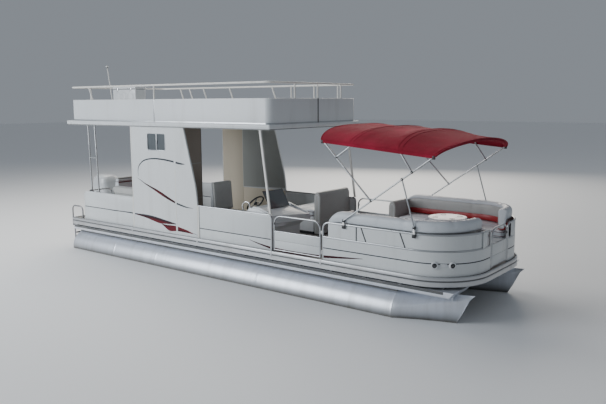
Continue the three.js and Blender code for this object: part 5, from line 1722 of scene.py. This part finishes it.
def windscreen():
    look = {"foot": 4.88, "ends": (-1, -0.49), "lean": (-0.16, 0, 0.272), "bow": 0.016, "count": 16}
    part = Piece("windscreen-pane")
    lean = Vector(look["lean"])
    low, high = look["ends"]
    foot = []
    for n in range(look["count"] + 1):
        t = 2 * n / look["count"] - 1
        x = look["foot"] + look["bow"] * (0.5 - t * t)
        foot.append(Vector((x, low + (high - low) * n / look["count"], dashHeight(x) + 0.004)))
    bm = sweep([(-0.003, 0), (0.003, 0), (0.003, 1), (-0.003, 1)], [(p, forward, lean) for p in foot])
    part.add(tintedPane, bm)
    top = [p + lean for p in foot]
    part.add(black, pipe(foot, 0.007, sides=8), pipe(top, 0.005, sides=8))
    for n in (0, -1):
        part.add(black, pipe([foot[n], top[n]], 0.005, sides=8))
    part.done("windscreen")


wheelLook = {"centre": (4.415, -0.85, 0.685), "axis": (-0.751, 0, 0.66)}


def helmWheel():
    part = Piece("steering-wheel", "helm_wheel")
    rim = [(0.165 + a, b) for a, b in circle(0.0128, 14)]
    part.add(black, lathed(rim + rim[:1], (0, 0, 0), sides=64),
        lathed([(0, -0.015), (0.03, -0.015), (0.034, -0.01), (0.034, 0.006), (0.03, 0.013), (0, 0.015)],
        (0, 0, 0)))
    part.add(steel, lathed([(0, 0.0149), (0.018, 0.0149), (0.018, 0.0165), (0, 0.0175)], (0, 0, 0)))
    part.add(dark, rod((0, 0, -0.0125), (0, 0, -0.147), 0.0158, sides=24))
    for degrees in (90, 210, 330):
        a = radians(degrees)
        out = Vector((cos(a), sin(a), 0))
        side = Vector((-sin(a), cos(a), 0))
        spoke = sweep([(-0.013, -0.0042), (0.013, -0.0042), (0.009, 0.0042), (-0.009, 0.0042)],
            [(out * r, side * wide, up) for r, wide in ((0.028, 1.3), (0.06, 1), (0.12, 0.85), (0.15, 0.95),
            (0.158, 1.2))])
        part.add(steel, spoke)
    turn = up.rotation_difference(Vector(wheelLook["axis"])).to_matrix().to_4x4()
    part.done("steering_wheel", place=fromDeck @ Matrix.Translation(wheelLook["centre"]) @ turn)


def helmChair():
    post = Piece("helm-pedestal")
    post.add(silver, lathed([(0, 0.001), (0.116, 0.001), (0.12, 0.005), (0.114, 0.011), (0.06, 0.0145),
        (0.045, 0.022), (0.039, 0.04), (0.036, 0.06), (0.0355, 0.2), (0.0325, 0.204), (0.0325, 0.3395),
        (0, 0.3395)], (3.76, -0.76, 0), sides=36))
    post.done("helm_pedestal")
    x, y = 3.76, -0.76
    shell = Piece("helm-seat-shell", "helm_chair")
    shell.add(dark, box(near(x, 0.17), near(y, 0.15), (0.341, 0.362), 0.006))
    shell.add(moulding, box((x - 0.245, x + 0.235), near(y, 0.245), (0.36, 0.396), 0.014))
    back = [(x - 0.272, 0.372), (x - 0.235, 0.372), (x - 0.222, 0.5), (x - 0.262, 0.992), (x - 0.292, 0.992),
        (x - 0.288, 0.52)]
    shell.add(moulding, plate(back, "y", y - 0.235, y + 0.235, 0.01, 3))
    shell.done()
    seat = box((x - 0.205, x + 0.24), near(y, 0.238), (0.4, 0.47), 0.026, 3)
    rest = plate([(x - 0.225, 0.482), (x - 0.165, 0.482), (x - 0.208, 0.996), (x - 0.258, 0.996)], "y",
        y - 0.238, y + 0.238, 0.024, 3)
    part = Piece("helm-seat", "helm_chair")
    for bm, dents in zip(inflated([(seat, 0.009, 0.398), (rest, 0.009, 0.478)]), (True, False)):
        if dents:
            dented(bm, 0.47, [((x - 0.2, y - 0.09), (x + 0.2, y - 0.09)),
                ((x - 0.2, y + 0.09), (x + 0.2, y + 0.09))], 0.008)
        part.add(greyVinyl, subdivided(bm))
    part.add(wineVinyl, welt(rounded(corners(x - 0.205, x + 0.24, y - 0.238, y + 0.238), 0.04), 0.452))
    part.done("helm_seat", angle=80)


helmConsole()
windscreen()
helmWheel()
helmChair()
print("helm made")

# Motor

def loft(rings):
    # rings are lists of points of one length, joined side by side and closed at both ends
    bm = bmesh.new()
    loops = []
    for ring in rings:
        verts = [bm.verts.new(p) for p in ring]
        loops.append([bm.edges.new(pair) for pair in zip(verts, verts[1:] + verts[:1])])
    for one, two in zip(loops, loops[1:]):
        bmesh.ops.bridge_loops(bm, edges=one + two)
    for loop in (loops[0], loops[-1]):
        bmesh.ops.contextual_create(bm, geom=loop)
    outwards(bm)
    return bm


def motorPod():
    part = Piece("motor-pod")
    side = [(-0.571, -0.56), (0.45, -0.56), (0.9, -0.155), (-0.571, -0.155)]
    part.add(pontoonMetal, plate(side, "y", -0.33, 0.33, 0.016, 3),
        block((-0.62, -0.57), (-0.28, 0.28), (-0.56, 0.065), 0.008))
    for y in (-0.2525, 0.2525):
        brace = [(-0.5695, -0.155), (-0.5695, 0.04), (-0.47, -0.05), (-0.41, -0.155)]
        part.add(pontoonMetal, plate(brace, "y", y - 0.0125, y + 0.0125, 0.003))
    for y in (-0.328, 0.328):
        part.add(pontoonMetal, pipe([(-0.56, y, -0.552), (0.44, y, -0.552), (0.885, y, -0.16)], 0.006,
            sides=6))
    return part.done("motor_pod")


def motorClamp():
    part = Piece("motor-clamp")
    part.add(gloss, block((-0.66, -0.6205), (-0.13, 0.13), (-0.26, 0.095), 0.008, 3),
        block((-0.65, -0.545), (-0.1, 0.1), (0.0655, 0.095), 0.008, 3),
        block((-0.5695, -0.545), (-0.1, 0.1), (-0.04, 0.092), 0.007, 3))
    cheek = [(-0.645, 0.095), (-0.735, 0.095), (-0.745, 0.02), (-0.69, -0.12), (-0.645, -0.25)]
    for y in (-0.1175, 0.1175):
        part.add(gloss, plate(cheek, "y", y - 0.0125, y + 0.0125, 0.004))
    for y in (-0.06, 0.06):  # clamp screws with their handles
        part.add(steel, rod((-0.5455, y, 0.02), (-0.52, y, 0.02), 0.008, sides=12),
            rod((-0.518, y - 0.03, 0.02), (-0.518, y + 0.03, 0.02), 0.005, sides=10))
    for y, z in ((-0.09, -0.17), (0.09, -0.17), (-0.09, -0.06), (0.09, -0.06)):
        part.add(steel, rod((-0.66, y, z), (-0.668, y, z), 0.01, sides=6))
    part.done("motor_clamp")


def motorSwivel():
    part = Piece("motor-swivel", "motor_bracket")
    part.add(gloss, rod((-0.7, -0.104, 0.05), (-0.7, 0.104, 0.05), 0.0325, sides=32, edge=0.004),
        block((-0.76, -0.7), (-0.06, 0.06), (0.02, 0.08), 0.01, 3),
        rod((-0.76, 0, -0.3795), (-0.76, 0, 0.0895), 0.0415, sides=32, edge=0.005),
        block((-0.757, -0.722), (-0.022, 0.022), (-0.3, -0.02), 0.008, 3))
    part.done("motor_swivel")


def legSection(z, nose, tail, half, count=20):
    # a rounded fore end and a thin after end
    points = []
    for n in range(count):
        a = tau * n / count
        c, s = cos(a), sin(a)
        share = (1 + c) / 2
        points.append(Vector((tail + (nose - tail) * share,
            half * s * (0.55 + 0.45 * share) if c < 0 else half * s, z)))
    return points


def motorLeg():
    part = Piece("motor-leg", "motor")
    part.add(gloss, block((-0.835, -0.728), (-0.03, 0.03), (0.0905, 0.15), 0.006),
        block((-0.835, -0.735), (-0.03, 0.03), (-0.43, -0.3805), 0.006))
    sections = [(0.2, -0.829, -1.06, 0.051), (0.1, -0.829, -1.032, 0.051), (0, -0.829, -1, 0.05),
        (-0.22, -0.829, -1.003, 0.048), (-0.43, -0.83, -1.006, 0.046), (-0.52, -0.84, -1.009, 0.042),
        (-0.58, -0.849, -1.01, 0.036)]
    part.add(motorPaint, softened(loft([legSection(*s) for s in sections]), 0.003, 2, 50))
    part.add(gloss, plate(rounded([(-0.726, -0.094), (-0.726, 0.094), (-1.179, 0.094), (-1.179, -0.094)],
        0.07, 8), "z", 0.186, 0.2193, 0.006, 3))
    fin = rounded([(-0.836, -0.03), (-0.836, 0.03), (-0.96, 0.089), (-1.2, 0.089), (-1.239, 0.05),
        (-1.239, -0.05), (-1.2, -0.089), (-0.96, -0.089)], 0.03, 4)
    part.add(motorPaint, plate(fin, "z", -0.5895, -0.5765, 0.003))
    strut = [(-0.578, -0.851, -1.009, 0.0215), (-0.65, -0.845, -1.016, 0.0205),
        (-0.74, -0.836, -1.024, 0.0215)]
    part.add(motorPaint, loft([legSection(*s) for s in strut]))
    skeg = [(-0.86, -0.79), (-1.03, -0.79), (-1.059, -0.924), (-0.986, -0.924)]
    part.add(motorPaint, plate(skeg, "y", -0.0078, 0.0078, 0.003))
    body = [(0, -0.765), (0.012, -0.767), (0.026, -0.78), (0.038, -0.805), (0.045, -0.84), (0.048, -0.885),
        (0.048, -0.98), (0.044, -1.04), (0.037, -1.08), (0.0355, -1.0935), (0, -1.0935)]
    part.add(motorPaint, lathed([(r, -x) for r, x in body], (0, 0, -0.76), (-1, 0, 0), 32))
    for z in (-0.615, -0.63, -0.645):  # water intake
        part.add(black, block((-0.905, -0.865), (-0.0225, 0.0225), near(z, 0.003)))
    part.add(silver, block((-1.12, -1.06), (-0.006, 0.006), (-0.625, -0.588), 0.003))
    part.done("motor_leg")


def motorCowl():
    part = Piece("motor-cowl", "motor")
    # height, fore and aft ends, half width
    lower = ((0.222, -0.738, -1.152, 0.165), (0.245, -0.726, -1.168, 0.183), (0.29, -0.712, -1.196, 0.2),
        (0.33, -0.706, -1.226, 0.212))
    part.add(gloss, loft([superOval(*r) for r in lower]))
    upper = [(0.334, -0.706, -1.228, 0.214), (0.35, -0.7, -1.236, 0.224), (0.42, -0.696, -1.24, 0.231),
        (0.52, -0.698, -1.238, 0.232), (0.61, -0.704, -1.232, 0.229), (0.68, -0.722, -1.214, 0.218),
        (0.73, -0.75, -1.186, 0.196), (0.762, -0.79, -1.146, 0.162), (0.782, -0.842, -1.092, 0.112),
        (0.788, -0.89, -1.04, 0.066)]
    part.add(motorPaint, softened(loft([superOval(*r) for r in upper]), 0.004, 2, 60))
    part.add(black, loft([superOval(z, -0.708, -1.226, 0.211) for z in (0.328, 0.337)]))
    for y in (-0.08, 0.08):
        part.add(black, block((-1.2385, -1.225), near(y, 0.05), (0.56, 0.6), 0.004))
    part.add(steel, block((-1.236, -1.222), (-0.03, 0.03), (0.345, 0.38), 0.004))
    part.done("motor_cowl")


def superOval(z, fore, aft, half, count=36):
    points = []
    for n in range(count):
        a = tau * n / count
        c, s = cos(a), sin(a)
        power = 0.55
        x = copysign(abs(c) ** power, c)
        y = copysign(abs(s) ** power, s)
        points.append(Vector(((fore + aft) / 2 + x * (fore - aft) / 2, y * half, z)))
    return points


def propeller():
    part = Piece("propeller-blades", "propeller_body")
    hub = [(0, -0.062), (0.034, -0.062), (0.037, -0.05), (0.038, 0), (0.037, 0.05), (0.03, 0.06), (0, 0.062)]
    part.add(gloss, lathed(hub, (-1.158, 0, -0.76), (-1, 0, 0), 32))
    pitch = radians(62)
    for n in range(3):
        turn = Matrix.Rotation(tau * n / 3, 4, "X")
        stations = []
        for r, chord, skew in ((0.034, 0.03, 0), (0.06, 0.045, 0.002), (0.09, 0.06, 0.006),
                (0.118, 0.062, 0.012), (0.14, 0.05, 0.016), (0.154, 0.026, 0.018)):
            twist = pitch - (r - 0.03) * 2.2
            run = Vector((cos(twist), sin(twist), 0))
            thick = Vector((-sin(twist), cos(twist), 0))
            centre = Vector((0, skew, r))
            stations.append([centre + run * (chord * cos(b)) + thick * (0.0035 * sin(b))
                for b in [tau * m / 14 for m in range(14)]])
        bm = loft(stations)
        bmesh.ops.transform(bm, matrix=Matrix.Translation((-1.158, 0, -0.76)) @ turn, verts=bm.verts)
        part.add(gloss, bm)
    part.done("propeller", angle=50)


def boardingLadder():
    hoops = Piece("boarding-hoops")
    for y in (-1.215, -0.865):
        route = [(-0.12, y, 0.002), (-0.12, y, 0.255), (-0.48, y, 0.255), (-0.48, y, -0.175)]
        hoops.add(ladderMetal, pipe(route, 0.015, 0.09, 16, steps=8),
            rod((-0.12, y, 0.001), (-0.12, y, 0.007), 0.03, 0.027, 24, 0.002))
        hoops.add(steel, rod((-0.48, y - 0.017, -0.15), (-0.48, y + 0.017, -0.15), 0.007, sides=12))
    hoops.add(ladderMetal, rod((-0.48, -1.201, -0.05), (-0.48, -0.879, -0.05), 0.012, sides=14))
    hoops.done("boarding_hoops")
    steps = Piece("boarding-steps", "boarding_ladder")
    for y in (-1.181, -0.899):
        steps.add(ladderMetal, pipe([(-0.48, y, -0.15), (-0.48, y, -0.893)], 0.0145, sides=14))
        steps.add(black, ball((-0.48, y, -0.893), 0.016, (1, 1, 0.5), 12))
    for z in (-0.34, -0.53, -0.72, -0.875):
        steps.add(ladderMetal, rod((-0.48, -1.181, z), (-0.48, -0.899, z), 0.012, sides=14))
        if z > -0.8:
            steps.add(black, block((-0.497, -0.463), (-1.155, -0.925), near(z, 0.0135), 0.006))
    steps.done("boarding_steps")


motorPod()
motorClamp()
motorSwivel()
motorLeg()
motorCowl()
propeller()
boardingLadder()
print("motor made")


# Deck: the boards and the frame below keep their CAD mesh
def keptNode(name, finish):
    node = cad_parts[name]
    node.data.materials.clear()
    node.data.materials.append(finish.material)


keptNode("deck", carpet)
keptNode("deck_frame", iron)


def cleats():
    part = Piece("cleats")
    for x, y in ((-0.25, -1.1), (-0.25, 1.1)):
        part.add(steel, block(near(x, 0.03), near(y, 0.012), (0.0005, 0.006), 0.002))
        for shift in (-0.016, 0.016):
            part.add(steel, rod((x + shift, y, 0.004), (x + shift, y, 0.022), 0.005, sides=10))
        part.add(steel, pipe([(x - 0.06, y, 0.026), (x, y, 0.023), (x + 0.06, y, 0.026)], 0.0055, 0.05, 10))
    part.done()


def postFeet(name):
    # straps that carry the fence posts' load over the rub rail
    part = Piece(name)
    for x in (1.602, 3.412, 5.132, 6.122):
        part.add(bumperMetal, block(near(x, 0.016), (-1.2978, -1.2945), (-0.074, 0.0232), 0.001),
            block(near(x, 0.016), (-1.2975, -1.2545), (0.0202, 0.0232), 0.001))
        part.add(steel, rod((x, -1.2972, -0.058), (x, -1.3, -0.058), 0.006, sides=10))
    return part


cleats()
bothSides("post-feet", [], postFeet)

# Floor, light and camera
stageLook = {"floor": (0.88, 0.885, 0.89), "sky": (0.74, 0.81, 0.9), "skyStrength": 0.33}


def stage():
    bm = bmesh.new()
    bmesh.ops.create_grid(bm, x_segments=1, y_segments=1, size=90)
    bm.transform(Matrix.Translation((0, 0, waterline + 0.95)))
    mesh = bpy.data.meshes.new("floor")
    bm.to_mesh(mesh)
    bm.free()
    floor = linked("floor", mesh)
    paper = Finish("floorPaper", "white_panel", stageLook["floor"], 0.6)
    paper.set("Roughness", 0.55 + paper.clouds(2) * 0.1)
    mesh.materials.append(paper.material)
    world = bpy.data.worlds.new("softSky")
    scene.world = world
    world.use_nodes = True
    sky = world.node_tree.nodes["Background"]
    sky.inputs["Color"].default_value = (*stageLook["sky"], 1)
    sky.inputs["Strength"].default_value = stageLook["skyStrength"]
    lamps = [  # name, place, aim, size, watts, colour
        ("topSoftbox", (-6, 2, 12), (0, 0, 1), 9, 1100, (1, 0.97, 0.92)),
        ("backSoftbox", (-6, 15, 8), (0, 0, 1.5), 9, 1100, (1, 0.94, 0.84)),
        ("sideSoftbox", (-9, -14, 7), (0, 0, 1), 10, 2250, (0.9, 0.95, 1)),
    ]
    for name, place, aim, size, watts, colour in lamps:
        light = bpy.data.lights.new(name, "AREA")
        light.shape = "SQUARE"
        light.size = size
        light.energy = watts
        light.color = colour
        lamp = linked(name, light)
        lamp.location = place
        lamp.rotation_euler = (Vector(aim) - Vector(place)).to_track_quat("-Z", "Y").to_euler()


def photoCamera():
    look = {"place": (8.436, -9.344, 3.352), "yaw": 37.816, "pitch": 8.486, "roll": -0.274, "lens": 39.76}
    yaw, pitch, roll = (radians(look[key]) for key in ("yaw", "pitch", "roll"))
    ahead = Vector((-sin(yaw) * cos(pitch), cos(yaw) * cos(pitch), -sin(pitch)))
    right = Vector((cos(yaw), sin(yaw), 0))
    above = right.cross(ahead)
    across = right * cos(roll) + above * sin(roll)
    above = above * cos(roll) - right * sin(roll)
    turn = Matrix((across, above, -ahead)).transposed().to_4x4()
    camera = bpy.data.cameras.new("photoCamera")
    camera.lens = look["lens"]
    camera.sensor_width = 36
    camera.clip_end = 300
    obj = linked("photoCamera", camera)
    obj.matrix_world = Matrix.Translation(look["place"]) @ turn
    scene.camera = obj


stage()
photoCamera()
print("stage set")
